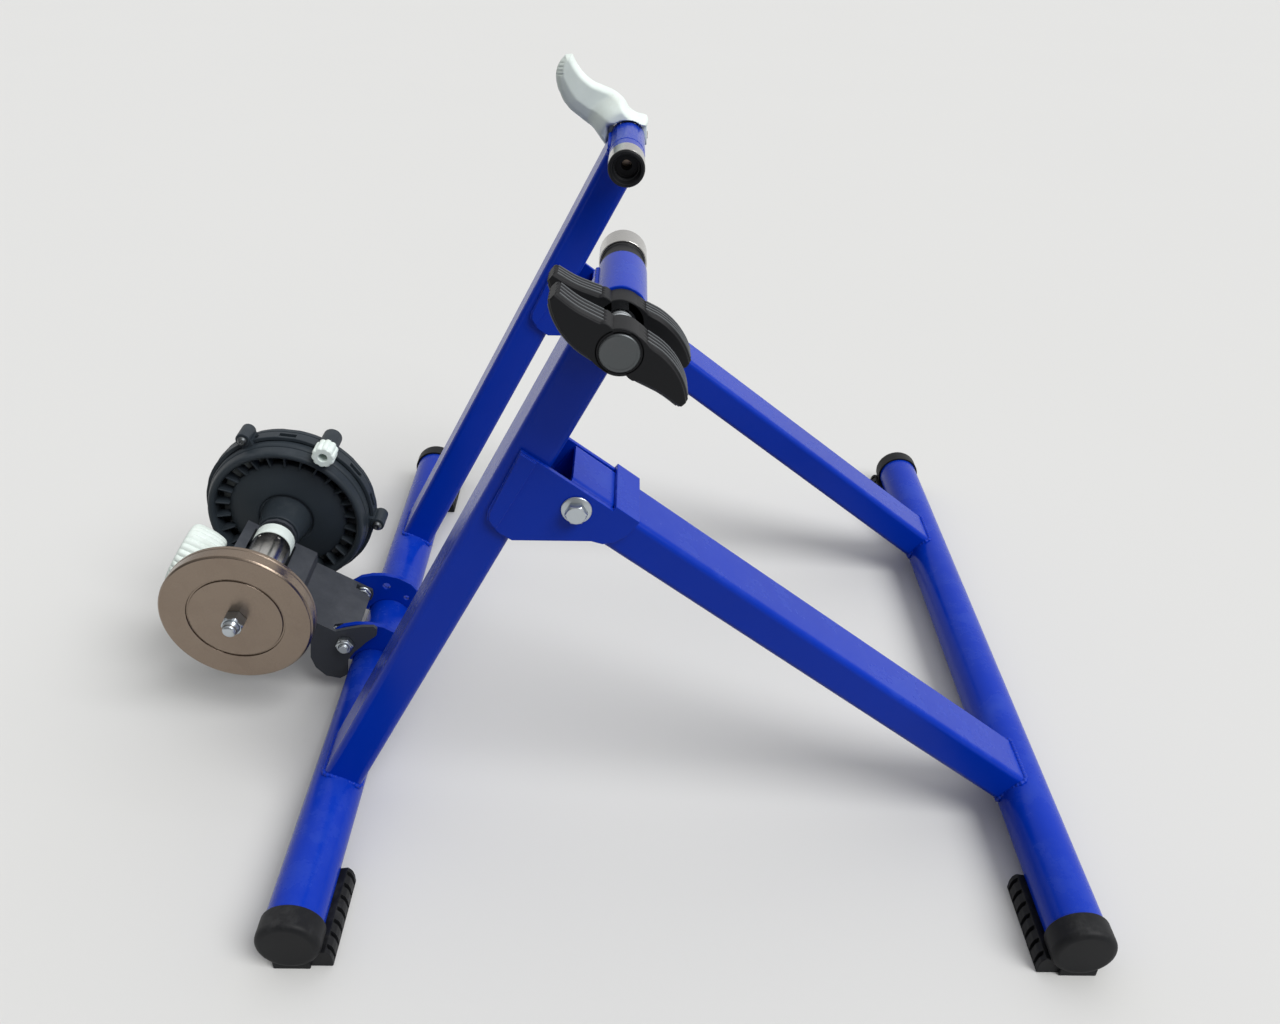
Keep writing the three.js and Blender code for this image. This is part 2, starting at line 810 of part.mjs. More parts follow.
// Cam lever: a bent handle with a raised ridge, two cheeks and a spiral cam on the pin.
function camLever() {
  const start = camAxis - leverDeep / 2;
  const end = camAxis + leverDeep / 2;
  const deep = leverDeep - leverRidgeBack;
  const top = leverOutline[1][1] - gripWide;
  const lower = plate(outlineShape(leverOutline), start + leverRidgeBack, deep, leverBevel);
  const upper = plate(outlineShape(leverRidgeOutline), start, deep, leverBevel);
  const cheeks = [-1, 1].map((side) => {
    const middle = side * (leverCheek + leverCheekOut) / 2;
    const long = leverCheekOut - leverCheek;
    const eye = new THREE.CylinderGeometry(leverDeep / 2, leverDeep / 2, long, midFacets);
    eye.rotateZ(Math.PI / 2);
    eye.translate(middle, camAxis, 0);
    return join(eye, block(middle - long / 2, middle + long / 2, start, end, 0, top));
  });
  const neck = block(-camHalf, camHalf, camAxis - camStart / 2, camAxis + camStart, 0, top);
  const gripFrom = 2 * leverOutline[13][0];
  const grooves = [];
  for (let i = 0; i < gripGrooves; i += 1) {
    const z = gripFirst + i * gripPitch;
    const floor = start + leverRidgeBack + gripDeep;
    grooves.push(block(gripFrom, leverOutline[0][0], start, floor, z, z + gripWide));
  }
  const pinHole = crossBar(camPinHole, 2 * leverCheekOut, camAxis);
  return cut(join(lower, upper, neck, camLobe(), ...cheeks), ...grooves, pinHole);
}

// Spiral cam: its radius grows evenly over half a turn, starting where it faces the rod.
function camLobe() {
  const points = [];
  for (let i = 0; i < camFacets; i += 1) {
    const share = 2 * i / camFacets;
    const radius = camStart + camRise * (share <= 1 ? share : Math.max(1 - 2 * (share - 1), 0));
    const turn = Math.PI * share;
    points.push(new THREE.Vector2(-Math.cos(turn) * radius, -Math.sin(turn) * radius));
  }
  const depth = 2 * camHalf;
  const geometry = new THREE.ExtrudeGeometry(new THREE.Shape(points), { depth, bevelEnabled: false });
  geometry.rotateX(Math.PI / 2);
  geometry.rotateZ(Math.PI / 2);
  geometry.translate(-camHalf, camAxis, 0);
  return geometry;
}

function camPin() {
  const half = leverCheekOut + 2 * seatGap;
  const geometry = new THREE.CylinderGeometry(camPinRadius, camPinRadius, 2 * half, smallFacets);
  geometry.rotateZ(Math.PI / 2);
  geometry.translate(0, camAxis, 0);
  return geometry;
}

// Ear plate on the rear tube with the cradle's pivot hole, a spare hole and a screw hole.
function ear(face) {
  const reach = [face - cutOver, face + earThick + cutOver];
  return cut(
    plate(outlineShape(earOutline), face, earThick),
    bar(tubeRadius + seatGap, ...reach, fineFacets),
    moved(bar(pivotHole, ...reach, smallFacets), earPivotX, earPivotZ),
    moved(bar(spareHoleRadius, ...reach, smallFacets), spareHoleX, spareHoleZ),
    moved(bar(earScrewRadius, ...reach, smallFacets), earScrewX, earScrewZ),
  );
}

// Sheet cradle: a stepped web with a window for the roller, and a flange down each side. The near
// flange lies outside its ear and widens round the pivot, down beside the tube.
function cradle() {
  const near = flangeNearFace;
  const far = flangeFarFace + sheetThick;
  const web = plate(outlineShape([
    [webEnd, webLevel], [webStepStart, webLevel], [webStepEnd, webRaised], [webTop, webRaised],
    [webTop, webRaised - sheetThick], [webStepEnd - webSkew, webRaised - sheetThick],
    [webStepStart - webSkew, webLevel - sheetThick], [webEnd, webLevel - sheetThick],
  ]), near, far - near);
  const flanges = outlineShape(flangeOutline);
  const guard = plate(outlineShape(guardOutline), near, sheetThick);
  const nearFlange = join(plate(flanges, near, sheetThick), guard);
  const farFlange = plate(flanges, far - sheetThick, sheetThick);
  const through = [near - cutOver, far + cutOver];
  const window = block(windowLeft, windowRight, near + windowInset, far - windowInset,
    webRaised - sheetThick - cutOver, webRaised + cutOver);
  const notches = [
    webNotch(near + sheetThick, 1, earThick + runGap, earSlotStart),
    webNotch(far - sheetThick, -1, 0, notchStart),
  ];
  return cut(
    join(cut(web, ...notches), nearFlange, farFlange),
    window,
    moved(bar(pivotHole, ...through, smallFacets), 0, 0),
    moved(bar(bearingOuter + seatGap, ...through, midFacets), rollerX, rollerZ),
    moved(bar(swivelJournal + seatGap, ...through, smallFacets), trunnionX, trunnionZ),
  );
}

// Room at a corner of the web's lower end for a pivot bolt's head, and for an ear beside it.
function webNotch(face, inward, earRoom, slotStart) {
  const wide = earRoom + notchWide;
  const head = earRoom + notchHead;
  const shape = new THREE.Shape([
    [webEnd + cutOver, -inward], [webEnd + cutOver, inward * wide], [webEnd, inward * wide],
    [notchStart, inward * head], [slotStart, inward * (earRoom + runGap)], [slotStart, -inward],
  ].map(([x, y]) => new THREE.Vector2(x, face + y)));
  const geometry = new THREE.ExtrudeGeometry(shape, { depth: webLevel + cutOver, bevelEnabled: false });
  return geometry;
}

// Short pivot bolt through a flange and an ear, its head on the inner one of the two.
function cradleBolt(headFace, away) {
  const reach = sheetThick + runGap + earThick + 2 * seatGap + nutHigh + boltPast;
  const geometry = hexBolt(0, boltHead, cradleBoltHeadHigh - flangeThick, boltHead, flangeThick, reach);
  if (away < 0) geometry.rotateX(Math.PI);
  geometry.translate(0, headFace, 0);
  return geometry;
}

// Swivel block: a round bar between the flanges with journals, bored for the tension screw.
function swivelBlock() {
  const near = flangeNearFace + sheetThick + runGap;
  const far = flangeFarFace - runGap;
  return cut(
    turned([
      [0, flangeNearFace], [swivelJournal, flangeNearFace], [swivelJournal, near], [swivelRadius, near],
      [swivelRadius, far], [swivelJournal, far], [swivelJournal, flangeFarFace + sheetThick],
      [0, flangeFarFace + sheetThick],
    ], midFacets),
    screwBar(tensionRadius + seatGap, -swivelRadius - cutOver, swivelRadius + cutOver),
  );
}

// A round bar along X at the tension screw's place along Y.
function screwBar(radius, start, end, facets = smallFacets) {
  const geometry = new THREE.CylinderGeometry(radius, radius, end - start, facets);
  geometry.rotateZ(Math.PI / 2);
  geometry.translate((start + end) / 2, tensionY, 0);
  return geometry;
}

// Tube axis as seen from the trunnion, in the cradle's own directions.
const tubeFromPivot = new THREE.Vector2(-earPivotX, -earPivotZ);
const tubeInCradle = new THREE.Vector2(
  tubeFromPivot.x * Math.cos(cradleAngle) - tubeFromPivot.y * Math.sin(cradleAngle),
  tubeFromPivot.x * Math.sin(cradleAngle) + tubeFromPivot.y * Math.cos(cradleAngle),
);
const screwRun = new THREE.Vector2(tubeInCradle.x - trunnionX, tubeInCradle.y - trunnionZ);
const screwTip = screwRun.length() - tubeRadius - seatGap;
const screwTurn = -Math.atan2(screwRun.y, screwRun.x);

// Tension screw from the rear tube out into the knob.
function tensionScrew() {
  return join(
    screwBar(tensionRadius, knobFar + knobHubLong, screwTip - tensionRadius, midFacets),
    coneTip(),
  );
}

// Rounded tip of the tension screw.
function coneTip() {
  const geometry = new THREE.LatheGeometry([
    new THREE.Vector2(0, -tensionRadius), new THREE.Vector2(tensionRadius, -tensionRadius),
    new THREE.Vector2(tensionRadius, -tensionRadius / 2), new THREE.Vector2(tensionRadius / 2, -seatGap / 2),
    new THREE.Vector2(0, 0),
  ], midFacets);
  geometry.rotateZ(-Math.PI / 2);
  geometry.translate(screwTip, tensionY, 0);
  return geometry;
}

function flutedShape(radius, depth, flutes, steps) {
  const count = flutes * steps;
  const points = [];
  for (let i = 0; i < count; i += 1) {
    const turn = 2 * Math.PI * i / count;
    const r = radius - depth * (0.5 - 0.5 * Math.cos(flutes * turn));
    points.push(new THREE.Vector2(r * Math.cos(turn), r * Math.sin(turn)));
  }
  return new THREE.Shape(points);
}

// Fluted hand knob with a hub towards the swivel block.
function tensionKnob() {
  const long = knobNear - knobFar;
  const shape = flutedShape(knobRadius - knobBevel, knobFlute, knobFlutes, knobFluteSteps);
  const body = new THREE.ExtrudeGeometry(shape, {
    depth: long - 2 * knobBevel, bevelEnabled: true, bevelThickness: knobBevel, bevelSize: knobBevel,
    bevelSegments: 1,
  });
  body.rotateY(Math.PI / 2);
  body.translate(knobFar + knobBevel, tensionY, 0);
  return cut(
    join(body, screwBar(knobHubRadius, knobNear - seatGap, knobNear + knobHubLong, midFacets)),
    screwBar(knobBore, knobFar + knobHubLong - seatGap, knobNear + knobHubLong + cutOver),
  );
}

// Flywheel with a groove in its face and its edges broken.
function flywheel() {
  const halfGroove = faceGrooveWide / 2;
  const floor = flywheelFace + faceGrooveDeep;
  return turned([
    [shaftBore, flywheelFace], [faceGrooveRadius - halfGroove, flywheelFace],
    [faceGrooveRadius - halfGroove, floor], [faceGrooveRadius + halfGroove, floor],
    [faceGrooveRadius + halfGroove, flywheelFace], [flywheelRadius - flywheelEdge, flywheelFace],
    [flywheelRadius, flywheelFace + flywheelEdge], [flywheelRadius, flywheelBack - flywheelEdge],
    [flywheelRadius - flywheelEdge, flywheelBack], [shaftBore, flywheelBack], [shaftBore, flywheelFace],
  ], bigFacets);
}

function rollerShaft() {
  return turned([
    [0, shaftStart], [shaftRadius - 2 * seatGap, shaftStart], [shaftRadius, shaftStart + 2 * seatGap],
    [shaftRadius, shaftEnd], [0, shaftEnd],
  ], smallFacets);
}

function rollerRing() {
  const start = rollerEnd + seatGap;
  return turned([
    [shaftBore, start], [ringRadius, start], [ringRadius, ringEnd - ringEdge],
    [ringRadius - ringEdge, ringEnd], [shaftBore, ringEnd], [shaftBore, start],
  ], fineFacets);
}

// Brake's front shell: hub collar and dish, held to the rim by a ring of ribs.
function brakeFrontShell() {
  const dish = turned([
    [hubBore, hubStart], [hubRadius, hubStart], [hubCollar, hubCollarEnd], [dishInner, dishHub],
    [dishInner + dishWide / 2, dishHub + dishRise / 4], [dishRadius, dishFront],
    [dishRadius, floorBack], [hubBore, floorBack], [hubBore, hubStart],
  ], bigFacets);
  const rim = turned([
    [grilleRadius, floorBack], [grilleRadius, brakeFront + seatGap], [grilleRadius + seatGap, brakeFront],
    [frontRim - seatGap, brakeFront], [frontRim, brakeFront + seatGap], [frontRimBack, shellJoint],
    [frontRimBack - shellWall, shellJoint], [frontRimBack - shellWall, floorBack], [grilleRadius, floorBack],
  ], bigFacets);
  const ribs = [];
  for (let i = 0; i < ribCount; i += 1) {
    const rib = block(dishRadius - shellWall / 2, grilleRadius + shellWall / 2, ribFront, floorBack,
      -ribThick / 2, ribThick / 2);
    rib.rotateY(2 * Math.PI * i / ribCount);
    ribs.push(rib);
  }
  return join(dish, rim, ...ribs);
}

// Place on the brake's rim for a share of a turn counted from +X towards +Z.
function aroundBrake(radius, share) {
  const turn = 2 * Math.PI * share;
  return [radius * Math.cos(turn), radius * Math.sin(turn)];
}

// Brake's back shell: vents, screw lugs, a lug for the cable adjuster and a spigot for the magnets.
function brakeBackShell() {
  const start = shellJoint + seatGap;
  const innerRadius = backRadius - shellWall;
  const innerEnd = backEnd - shellWall;
  const shoulder = carrierStart + carrierThick + seatGap;
  const spigot = carrierInner - seatGap;
  const body = turned([
    [0, innerEnd], [spigotBore, innerEnd], [spigotBore, spigotFront], [spigot, spigotFront],
    [spigot, shoulder], [spigotShoulder, shoulder], [spigotShoulder, innerEnd], [innerRadius, innerEnd],
    [innerRadius, start], [backRadius, start], [backRadius, backEnd - backEdge],
    [backRadius - backEdge, backEnd], [0, backEnd],
  ], bigFacets);
  const lugs = lugShares.map((share) => {
    const [x, z] = aroundBrake(lugRadius, share);
    return moved(bar(lugSize, lugStart, backEnd - backEdge, smallFacets), x, z);
  });
  const [ax, az] = aroundBrake(adjusterRing, adjusterShare);
  const adjusterLug = moved(bar(adjusterLugRadius, lugStart, backEnd - backEdge, smallFacets), ax, az);
  const vents = [];
  for (let i = 0; i < ventCount; i += 1) {
    const vent = block(backRadius - ventDeep, backRadius + cutOver, ventStart, ventStart + ventWide,
      -ventLong / 2, ventLong / 2);
    vent.rotateY(2 * Math.PI * (i / ventCount + 0.5 / bigFacets));
    vents.push(vent);
  }
  const holes = lugShares.map((share) => {
    const [x, z] = aroundBrake(lugRadius, share);
    return moved(bar(lugHole, lugStart - cutOver, lugStart + housingScrewLong, smallFacets), x, z);
  });
  const stemHole = moved(
    bar(adjusterStem + seatGap, lugStart - cutOver, adjusterStemEnd + seatGap, smallFacets), ax, az);
  return cut(join(body, ...lugs, adjusterLug), ...vents, ...holes, stemHole);
}

// Barrel adjuster: a fluted hollow collar on a stem.
function cableAdjuster() {
  const outline = flutedShape(adjusterRadius, adjusterFlute, adjusterFlutes, adjusterFluteSteps);
  const head = plate(outline, adjusterStart, adjusterLong);
  return cut(
    join(head, bar(adjusterStem, adjusterEnd - seatGap, adjusterStemEnd, smallFacets)),
    bar(adjusterHole, adjusterStart - cutOver, adjusterStemEnd + cutOver, smallFacets),
  );
}

function housingScrew() {
  const head = lugStart - seatGap;
  const tip = head + housingScrewLong - housingScrewShort;
  return turned([
    [0, head - housingScrewHigh], [housingScrewHead / 2, head - housingScrewHigh],
    [housingScrewHead, head - housingScrewHigh / 2], [housingScrewHead, head], [housingScrewShank, head],
    [housingScrewShank, tip], [0, tip],
  ], smallFacets);
}

// Rotor disc on the shaft, between the grille and the magnets.
function brakeRotor() {
  const hubFace = rotorStart - rotorHubLong;
  return turned([
    [shaftBore, hubFace], [rotorHub, hubFace], [rotorHub, rotorStart], [rotorRadius, rotorStart],
    [rotorRadius, rotorStart + rotorThick], [shaftBore, rotorStart + rotorThick], [shaftBore, hubFace],
  ], fineFacets);
}

// Magnet carrier: a ring plate with square magnets facing the rotor.
function magnetCarrier() {
  const ring = pipe(carrierOuter, carrierInner, carrierStart, carrierStart + carrierThick, fineFacets);
  const magnets = [];
  const magnetOuter = carrierOuter - magnetInset;
  const face = carrierStart - magnetHigh;
  for (let i = 0; i < magnetCount; i += 1) {
    const magnet = block(magnetOuter - magnetLong, magnetOuter, face, carrierStart + carrierThick / 2,
      -magnetWide / 2, magnetWide / 2);
    magnet.rotateY(2 * Math.PI * i / magnetCount);
    magnets.push(magnet);
  }
  return join(ring, ...magnets);
}

// Small screw through the near ear, its end and nut on the outer face.
function earScrew() {
  const face = nearEarFace - seatGap;
  const shank = earScrewRadius - seatGap;
  const back = face + earThick + 2 * seatGap;
  const nut = new THREE.CylinderGeometry(earNut, earNut, earNutHigh, hexSides);
  nut.translate(0, face - earNutHigh / 2, 0);
  return join(nut, bar(shank, face - 2 * earNutHigh, back + earNutHigh / 2, smallFacets),
    bar(earNut, back, back + earNutHigh, smallFacets));
}

const farPostStart = baseLength - postStart - postDepth;
const unitPlace = baseLength / 2;
const clampX = clampReach * Math.cos(postAngle);
const clampZ = clampReach * Math.sin(postAngle);
const pivotZ = legReach * Math.sin(legAngle);
const pivotX = (pivotOut + pivotZ * Math.cos(postAngle)) / Math.sin(postAngle);
const tubeSpacing = pivotX + legReach * Math.cos(legAngle);
const postTurn = Math.PI / 2 - postAngle;
const legTurn = legAngle - Math.PI / 2;
const postMiddle = postStart + postDepth / 2;
const farPostMiddle = farPostStart + postDepth / 2;
const plateOuter = postDepth / 2 + seatGap + plateThick;

// Everything that stays with the rear base tube.
function rearFrame() {
  return group(0, 0, 0, 0,
    piece('rear_tube', baseTube(), blue, gloss),
    capMesh('rear_near_cap', 0, false, 1),
    capMesh('rear_far_cap', 0, true, 1),
    group(0, postMiddle, 0, postTurn, piece('near_post', post(), blue, gloss)),
    group(0, farPostMiddle, 0, postTurn, piece('far_post', post(), blue, gloss)),
    group(0, unitPlace, 0, 0,
      piece('near_ear', ear(nearEarFace), blue, gloss),
      piece('far_ear', ear(farEarFace), blue, gloss)),
    group(earScrewX, unitPlace, earScrewZ, 0, piece('ear_screw', earScrew(), zinc, metal)),
  );
}

// Bracket, bolt, nut and bush at one leg pivot; the bolt's head faces outwards.
function legPivot(label, middle, outward) {
  const bolt = hexBolt(-plateOuter - seatGap, boltHead, boltHeadHigh, flangeRadius, flangeThick,
    plateOuter + seatGap + nutHigh + boltPast);
  const nut = lockNut(plateOuter + seatGap, nutAcross, nutHigh, pivotShank + seatGap);
  if (outward > 0) {
    bolt.rotateZ(Math.PI);
    nut.rotateZ(Math.PI);
  }
  return group(pivotX, middle, pivotZ, legAngle,
    piece(`${label}_leg_bracket`, legBracket(), blue, gloss),
    piece(`${label}_pivot_bolt`, bolt, zinc, metal),
    piece(`${label}_pivot_nut`, nut, zinc, metal),
    piece(`${label}_leg_bush`, pipe(bushRadius, pivotHole, -postDepth / 2, postDepth / 2), steel, metal),
  );
}

// Front base tube with its two legs.
function frontFrame() {
  return group(tubeSpacing, 0, 0, 0,
    piece('front_tube', baseTube(), blue, gloss),
    capMesh('front_near_cap', 0, false, -1),
    capMesh('front_far_cap', 0, true, -1),
    group(0, postMiddle, 0, legTurn, piece('near_leg', leg(), blue, gloss)),
    group(0, farPostMiddle, 0, legTurn, piece('far_leg', leg(), blue, gloss)),
  );
}

// Screw clamp on the near post.
function nearClamp() {
  const lock = wingLever(lockStart, nearSleeveStart - seatGap, lockWingDeep, screwBore);
  const lockLever = piece('lock_lever', lock, black, satin);
  lockLever.rotation.y = lockTurn;
  const handle = cut(
    wingLever(leverStart, leverBossEnd, leverWingDeep, screwBore),
    bar(discRadius + seatGap, discFace - cutOver, discFace + discThick + seatGap),
  );
  const sleeve = pipe(sleeveRadius, screwBore, nearSleeveStart, nearSleeveEnd, fineFacets);
  return group(clampX, postStart, clampZ, 0,
    piece('near_sleeve', sleeve, blue, gloss),
    piece('clamp_screw', clampScrew(), chrome, metal),
    piece('adjuster_lever', handle, black, satin),
    piece('adjuster_disc', bar(discRadius, discFace, discFace + discThick, midFacets), steel, metal),
    lockLever,
    piece('near_cup_collar', cupCollar(), black, satin),
    piece('near_cup_ring', nearCupRing(), chrome, metal),
  );
}

// Cam clamp on the far post.
function farClamp() {
  return group(clampX, farPostStart, clampZ, 0,
    piece('far_sleeve', farSleeve(), blue, gloss),
    piece('plunger_collar', plungerCollar(), blue, gloss),
    piece('far_cup', farCup(), black, satin),
    piece('far_cup_ring', farCupRing(), chrome, metal),
    piece('plunger_rod', plungerRod(), steel, metal),
    piece('return_spring', returnSpring(), steel, metal),
    piece('cam_pin', camPin(), steel, metal),
    piece('cam_lever', camLever(), white, satin),
  );
}

// Roller, flywheel and rotor on their shaft, and the brake round them.
function rollerAndBrake() {
  const adjusterPlace = aroundBrake(adjusterRing, adjusterShare);
  const screws = lugShares.map((share, i) => {
    const [x, z] = aroundBrake(lugRadius, share);
    return group(x, 0, z, 0, piece(`housing_screw_${i + 1}`, housingScrew(), zinc, metal));
  });
  const nut = new THREE.CylinderGeometry(nutRadius, nutRadius, flywheelFace - seatGap - nutStart, hexSides);
  const nutMiddle = (flywheelFace - seatGap + nutStart) / 2;
  const spacerEnd = nearBearingStart - seatGap;
  const spacer = pipe(spacerRadius, shaftBore, flywheelBack + seatGap, spacerEnd, smallFacets);
  const nearBearing = pipe(bearingOuter, bearingInner, nearBearingStart, nearBearingStart + bearingWide);
  const farBearing = pipe(bearingOuter, bearingInner, farBearingStart, hubStart - seatGap);
  nut.translate(0, nutMiddle, 0);
  const nutBore = bar(shaftBore, shaftStart, flywheelFace + cutOver, smallFacets);
  return group(rollerX, 0, rollerZ, -cradleAngle,
    piece('roller', pipe(rollerRadius, shaftBore, rollerStart, rollerEnd, fineFacets), chrome, metal),
    piece('roller_ring', rollerRing(), white, satin),
    piece('roller_shaft', rollerShaft(), steel, metal),
    piece('flywheel', flywheel(), steel, metal),
    piece('flywheel_nut', cut(nut, nutBore), zinc, metal),
    piece('flywheel_spacer', spacer, steel, metal),
    piece('near_bearing', nearBearing, steel, metal),
    piece('far_bearing', farBearing, steel, metal),
    piece('brake_front_shell', brakeFrontShell(), brakeBlack, satin),
    piece('brake_back_shell', brakeBackShell(), brakeBlack, satin),
    piece('brake_rotor', brakeRotor(), steel, metal),
    piece('magnet_carrier', magnetCarrier(), black, satin),
    group(adjusterPlace[0], 0, adjusterPlace[1], 0, piece('cable_adjuster', cableAdjuster(), white, satin)),
    ...screws,
  );
}

// Cradle on the ears, with its swivel block, screw and knob.
function resistanceUnit() {
  const nutFace = flangeNearFace - seatGap;
  const nearNut = lockNut(-nutFace, nutAcross, nutHigh, pivotShank + seatGap);
  nearNut.rotateX(Math.PI);
  const farNut = lockNut(farEarFace + earThick + seatGap, nutAcross, nutHigh, pivotShank + seatGap);
  return group(earPivotX, unitPlace, earPivotZ, cradleAngle,
    piece('cradle', cradle(), greyPaint, satin),
    piece('cradle_near_bolt', cradleBolt(nearEarFace + earThick + seatGap, -1), zinc, metal),
    piece('cradle_far_bolt', cradleBolt(flangeFarFace - seatGap, 1), zinc, metal),
    piece('cradle_near_nut', nearNut, zinc, metal),
    piece('cradle_far_nut', farNut, zinc, metal),
    group(trunnionX, 0, trunnionZ, screwTurn,
      piece('swivel_block', swivelBlock(), steel, metal),
      piece('tension_screw', tensionScrew(), zinc, metal),
      piece('tension_knob', tensionKnob(), white, satin),
    ),
    rollerAndBrake(),
  );
}

const trainer = new THREE.Group();
trainer.add(
  rearFrame(),
  legPivot('near', postMiddle, -1),
  legPivot('far', farPostMiddle, 1),
  frontFrame(),
  nearClamp(),
  farClamp(),
  resistanceUnit(),
);

// The origin is under the middle of the whole trainer, on the ground.
trainer.updateMatrixWorld(true);
const extent = new THREE.Box3().setFromObject(trainer, true);
const middle = extent.getCenter(new THREE.Vector3());
trainer.position.set(-middle.x, -middle.y, -extent.min.z);

export default trainer;
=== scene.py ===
"""A folding wheel-on cycle trainer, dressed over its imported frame.

Every piece is a surface on a grid of two parameters, worked out as whole arrays, and every
finish is a set of nodes on Object coordinates. Lengths in the code are millimetres, turned to
metres where a mesh is made.
"""

import math

import bmesh
import bpy
import numpy as np
from mathutils import Matrix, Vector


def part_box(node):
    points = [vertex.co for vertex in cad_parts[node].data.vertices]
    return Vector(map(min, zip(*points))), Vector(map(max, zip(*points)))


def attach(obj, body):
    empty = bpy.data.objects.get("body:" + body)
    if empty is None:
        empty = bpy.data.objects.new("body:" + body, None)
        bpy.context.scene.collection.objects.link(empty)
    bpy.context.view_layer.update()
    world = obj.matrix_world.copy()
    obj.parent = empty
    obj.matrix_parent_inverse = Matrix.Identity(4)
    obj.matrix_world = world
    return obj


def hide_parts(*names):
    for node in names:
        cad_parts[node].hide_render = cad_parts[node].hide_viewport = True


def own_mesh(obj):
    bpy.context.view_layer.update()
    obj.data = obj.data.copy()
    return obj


bl_info = {
    "name": "Wheel-on trainer",
    "version": (1, 0, 0),
    "blender": (4, 5, 0),
    "location": "View3D > Sidebar > Trainer",
    "description": "Builds the pieces and finishes of a folding wheel-on cycle trainer",
    "category": "Object",
}

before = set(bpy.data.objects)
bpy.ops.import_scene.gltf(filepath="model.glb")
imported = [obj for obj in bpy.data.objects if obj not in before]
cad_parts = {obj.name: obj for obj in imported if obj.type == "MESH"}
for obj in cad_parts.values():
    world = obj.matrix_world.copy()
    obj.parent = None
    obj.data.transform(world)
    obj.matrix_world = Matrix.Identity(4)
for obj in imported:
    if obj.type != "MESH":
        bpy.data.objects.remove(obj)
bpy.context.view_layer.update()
MM = 0.001
TURN = 2 * math.pi
ORIGIN = (0.0, 0.0, 0.0)
SIDES = ("near", "far")


# Places, read from the frame


def low(node):
    return np.array(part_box(node)[0]) / MM


def high(node):
    return np.array(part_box(node)[1]) / MM


def middle(node):
    return (low(node) + high(node)) / 2


def ends(node):
    """A node's lowest and highest place along Y."""
    return low(node)[1], high(node)[1]


def beside(line, node=None):
    """The point of a line along Y that is level with a node's middle, or at Y = 0."""
    return np.array([line[0], middle(node)[1] if node else 0, line[2]])


REAR = middle("rear_tube")
FRONT = middle("front_tube")
CLAMP = middle("near_sleeve")
ROLLER = middle("roller")
PIVOT = middle("near_leg_bush")
SWIVEL = middle("swivel_block")
HINGE = middle("cradle_near_bolt")
POST = (CLAMP - REAR)[[0, 2]]
POST_REACH = float(np.linalg.norm(POST))
POST = POST / POST_REACH
LEG = (PIVOT - FRONT)[[0, 2]]
LEG_REACH = float(np.linalg.norm(LEG))
LEG = LEG / LEG_REACH
TUBE = float(high("rear_tube")[2] - low("rear_tube")[2]) / 2
SLEEVE = float(high("near_sleeve")[2] - low("near_sleeve")[2]) / 2
WELD_GAP = 0.3
POST_SIZE = (28.0, 45.0)
LEG_SIZE = (27.0, 44.0)


# Profiles of radius and Y


def stood(profile, face, out=1):
    """A profile whose heights h count from a face: y = face + out h."""
    return [(radius, face + out * height) for radius, height in profile]


def span(node, first, last=()):
    """A profile whose first heights count from a node's low end, and its last ones from the high end."""
    start, end = ends(node)
    return stood(first, start) + stood(last, end)


def pipe(bore, outer):
    """The square section of a pipe, as the two lists that span takes."""
    return [(bore, 0), (outer, 0)], [(outer, 0), (bore, 0)]


# Grids and meshes


def smooth_corners(outline, radius, steps=4, closed=True):
    """Each corner C turns into the curve (1-t)^2 A + 2t(1-t) C + t^2 B, A and B lying on its sides."""
    points = np.asarray(outline, float)
    before, after = np.roll(points, 1, 0) - points, np.roll(points, -1, 0) - points
    size_b = np.linalg.norm(before, axis=1, keepdims=True) + 1e-9
    size_a = np.linalg.norm(after, axis=1, keepdims=True) + 1e-9
    reach = np.broadcast_to(np.asarray(radius, float), (len(points),))[:, None].copy()
    if not closed:
        reach[[0, -1]] = 0
    start = points + before / size_b * np.minimum(reach, 0.48 * size_b)
    end = points + after / size_a * np.minimum(reach, 0.48 * size_a)
    t = np.linspace(0, 1, steps + 1)[None, :, None]
    curve = (1 - t) ** 2 * start[:, None] + 2 * t * (1 - t) * points[:, None] + t**2 * end[:, None]
    return curve.reshape(-1, points.shape[1])


def inset(outline, distance):
    """An outline moved inwards along the mean of its sides' normals; distances go along axis 0."""
    along = np.roll(outline, -1, 0) - np.roll(outline, 1, 0)
    along /= np.linalg.norm(along, axis=1, keepdims=True) + 1e-9
    following = np.roll(outline, -1, 0)
    area = np.sum(outline[:, 0] * following[:, 1] - outline[:, 1] * following[:, 0])
    inward = np.stack([-along[:, 1], along[:, 0]], -1) * np.sign(area)
    return outline[None] + inward[None] * np.asarray(distance, float)[:, None, None]


def turned(profile, centre, steps=96, shape=None, closed=False):
    """A profile of radius and Y turned about a line along Y: x = r cos a, z = r sin a.
    shape(a, r, y) gives the radius where it changes round the turn."""
    profile = np.asarray(profile, float)
    if closed:
        profile = np.vstack([profile, profile[:1]])
    a = np.arange(steps) / steps * TURN
    r = np.repeat(profile[:, :1], steps, 1)
    y = np.repeat(profile[:, 1:], steps, 1)
    if shape is not None:
        r = shape(a[None], r, y)
    return np.stack([centre[0] + r * np.cos(a), y + 0 * r, centre[2] + r * np.sin(a)], -1)


def placed(outlines, y):
    """Outlines in X and Z, one for each place along Y."""
    outlines = np.asarray(outlines, float)
    level = np.broadcast_to(np.asarray(y, float)[:, None], outlines.shape[:2])
    return np.stack([outlines[..., 0], level, outlines[..., 1]], -1)


